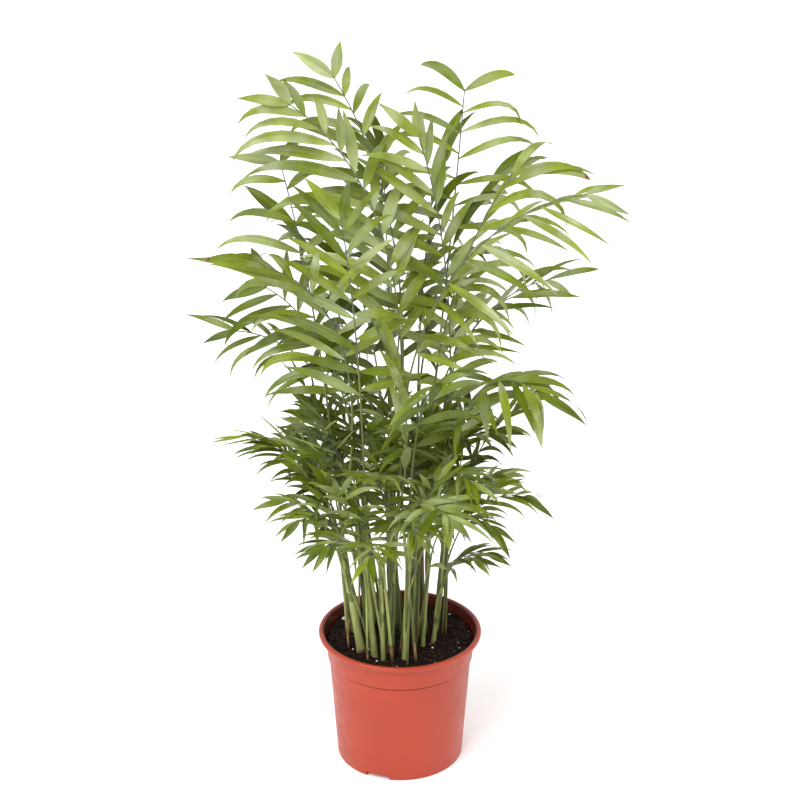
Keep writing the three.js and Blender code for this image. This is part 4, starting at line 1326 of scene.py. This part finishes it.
def build_stage(settings):
    """A pale floor, soft studio light and the camera."""
    half = FLOOR_SIZE / 2
    mesh = bpy.data.meshes.new("floor")
    corners = [(-half, -half, 0), (half, -half, 0), (half, half, 0), (-half, half, 0)]
    mesh.from_pydata(corners, [], [(0, 1, 2, 3)])
    floor = new_object("floor", mesh)
    mesh.materials.append(floor_material(settings.floor))
    floor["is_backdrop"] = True
    world = bpy.data.worlds.new("Studio")
    bpy.context.scene.world = world
    world.use_nodes = True
    background = world.node_tree.nodes["Background"]
    background.inputs["Color"].default_value = linear("FFFFFF")
    background.inputs["Strength"].default_value = settings.sky
    bpy.context.scene.view_settings.view_transform = "Standard"
    wide_light("Key", KEY_PLACE, settings.key, KEY_WIDTH)
    wide_light("Fill", FILL_PLACE, settings.fill, FILL_WIDTH)
    camera = new_object("Camera", bpy.data.cameras.new("Camera"))
    camera.data.lens = CAMERA_LENS
    camera.data.sensor_width = SENSOR
    camera.data.clip_end = CAMERA_REACH
    camera.location = CAMERA_PLACE
    camera.rotation_euler = (math.radians(90 - CAMERA_PITCH), 0, 0)
    bpy.context.scene.camera = camera


# Settings


class PALM_PG_pot(PropertyGroup):
    height: FloatProperty(name="Height", description="Height of the pot", default=POT_HIGH.z,
                          unit="LENGTH")
    lip_radius: FloatProperty(name="Lip Radius", description="Outer radius of the rolled lip",
                              default=POT_HIGH.y, unit="LENGTH")
    wall: FloatProperty(name="Wall", description="Thickness of the pot's wall", default=1.6 * MM,
                        unit="LENGTH")
    colour: FloatVectorProperty(name="Colour", description="Colour of the plastic",
                                default=linear("A03214"), size=4, subtype="COLOR", min=0, max=1)


class PALM_PG_compost(PropertyGroup):
    crumb_count: IntProperty(name="Crumbs", description="Number of crumbs and chips", default=620,
                             min=0)
    perlite_count: IntProperty(name="Perlite", description="Number of perlite grains", default=32,
                               min=0)
    fibre_count: IntProperty(name="Fibres", description="Number of root fibres", default=70, min=0)


class PALM_PG_canes(PropertyGroup):
    colour: FloatVectorProperty(name="Colour", description="Colour of the canes",
                                default=linear("888F54"), size=4, subtype="COLOR", min=0, max=1)


class PALM_PG_fronds(PropertyGroup):
    leaflet_width: FloatProperty(name="Leaflet Width", description="Width of an 80 mm leaflet",
                                 default=9.3 * MM, unit="LENGTH")
    spacing: FloatProperty(name="Spacing", description="Gap from pair to pair on a tall frond",
                           default=21 * MM, unit="LENGTH")
    low_spacing: FloatProperty(name="Low Spacing", default=11.6 * MM, unit="LENGTH",
                               description="Gap from pair to pair on a low frond")
    stalk: FloatVectorProperty(name="Stalk", description="Colour of the stalks",
                               default=linear("888F52"), size=4, subtype="COLOR", min=0, max=1)
    rib: FloatVectorProperty(name="Rib", description="Colour of the ribs",
                             default=linear("5C6650"), size=4, subtype="COLOR", min=0, max=1)
    lime: FloatVectorProperty(name="Lime", description="Colour of the brightest leaflets",
                              default=linear("7A881A"), size=4, subtype="COLOR", min=0, max=1)
    fresh: FloatVectorProperty(name="Fresh", description="Colour of the fresh leaflets",
                               default=linear("697810"), size=4, subtype="COLOR", min=0, max=1)
    # Mid is also the painted shade of the back fronds.
    mid: FloatVectorProperty(name="Mid", description="Colour of the mid-green leaflets",
                             default=linear("57660C"), size=4, subtype="COLOR", min=0, max=1)
    deep: FloatVectorProperty(name="Deep", description="Colour of the darkest leaflets",
                              default=linear("4B570B"), size=4, subtype="COLOR", min=0, max=1)


class PALM_PG_stage(PropertyGroup):
    floor: FloatVectorProperty(name="Floor", description="Colour of the floor",
                               default=linear("FFFFFF"), size=4, subtype="COLOR", min=0, max=1)
    sky: FloatProperty(name="Sky", description="Strength of the light from all round", default=1,
                       min=0)
    key: FloatProperty(name="Key", description="Strength of the main light", default=2.1, min=0)
    fill: FloatProperty(name="Fill", description="Strength of the second light", default=0.6, min=0)


# Operators


class PALM_OT_stage(Operator):
    """Make the floor, the light and the camera"""
    bl_idname = "palm.stage"
    bl_label = "Stage"

    def execute(self, context):
        build_stage(context.scene.palm_stage)
        return {"FINISHED"}


class PALM_OT_pot(Operator):
    """Make the nursery pot"""
    bl_idname = "palm.pot"
    bl_label = "Pot"

    def execute(self, context):
        build_pot(context.scene.palm_pot)
        return {"FINISHED"}


class PALM_OT_compost(Operator):
    """Make the compost and what lies on it"""
    bl_idname = "palm.compost"
    bl_label = "Compost"

    def execute(self, context):
        build_compost(context.scene.palm_compost)
        build_crumbs(context.scene.palm_compost)
        return {"FINISHED"}


class PALM_OT_canes(Operator):
    """Make the canes"""
    bl_idname = "palm.canes"
    bl_label = "Canes"

    def execute(self, context):
        dry_material()
        build_canes(context.scene.palm_canes)
        return {"FINISHED"}


class PALM_OT_fronds(Operator):
    """Make the tall fronds and the low ones"""
    bl_idname = "palm.fronds"
    bl_label = "Fronds"

    def execute(self, context):
        build_fronds(context.scene.palm_fronds)
        build_low_fronds(context.scene.palm_fronds)
        return {"FINISHED"}


class PALM_PT_panel(Panel):
    """Lists the palm's settings and pieces"""
    bl_label = "Parlour Palm"
    bl_idname = "PALM_PT_panel"
    bl_space_type = "VIEW_3D"
    bl_region_type = "UI"
    bl_category = "Parlour Palm"

    def draw(self, context):
        for name, (group, operator) in PIECES.items():
            box = self.layout.box()
            for setting in group.__annotations__:
                box.prop(getattr(context.scene, name), setting)
            box.operator(operator.bl_idname)


PIECES = {
    "palm_stage": (PALM_PG_stage, PALM_OT_stage),
    "palm_pot": (PALM_PG_pot, PALM_OT_pot),
    "palm_compost": (PALM_PG_compost, PALM_OT_compost),
    "palm_canes": (PALM_PG_canes, PALM_OT_canes),
    "palm_fronds": (PALM_PG_fronds, PALM_OT_fronds),
}


def register():
    for name, (group, operator) in PIECES.items():
        bpy.utils.register_class(group)
        setattr(bpy.types.Scene, name, PointerProperty(type=group))
        bpy.utils.register_class(operator)
    bpy.utils.register_class(PALM_PT_panel)


def unregister():
    bpy.utils.unregister_class(PALM_PT_panel)
    for name, (group, operator) in PIECES.items():
        bpy.utils.unregister_class(operator)
        delattr(bpy.types.Scene, name)
        bpy.utils.unregister_class(group)


def main():
    """Registers the add-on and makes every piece."""
    register()
    bpy.ops.palm.stage()
    bpy.ops.palm.pot()
    bpy.ops.palm.compost()
    bpy.ops.palm.canes()
    bpy.ops.palm.fronds()
    bpy.context.view_layer.update()
    boxes = {"cad": CAD_BOX, "visual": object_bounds()}
    {name: [list(corner) for corner in box] for name, box in boxes.items()}


if __name__ == "__main__":
    main()
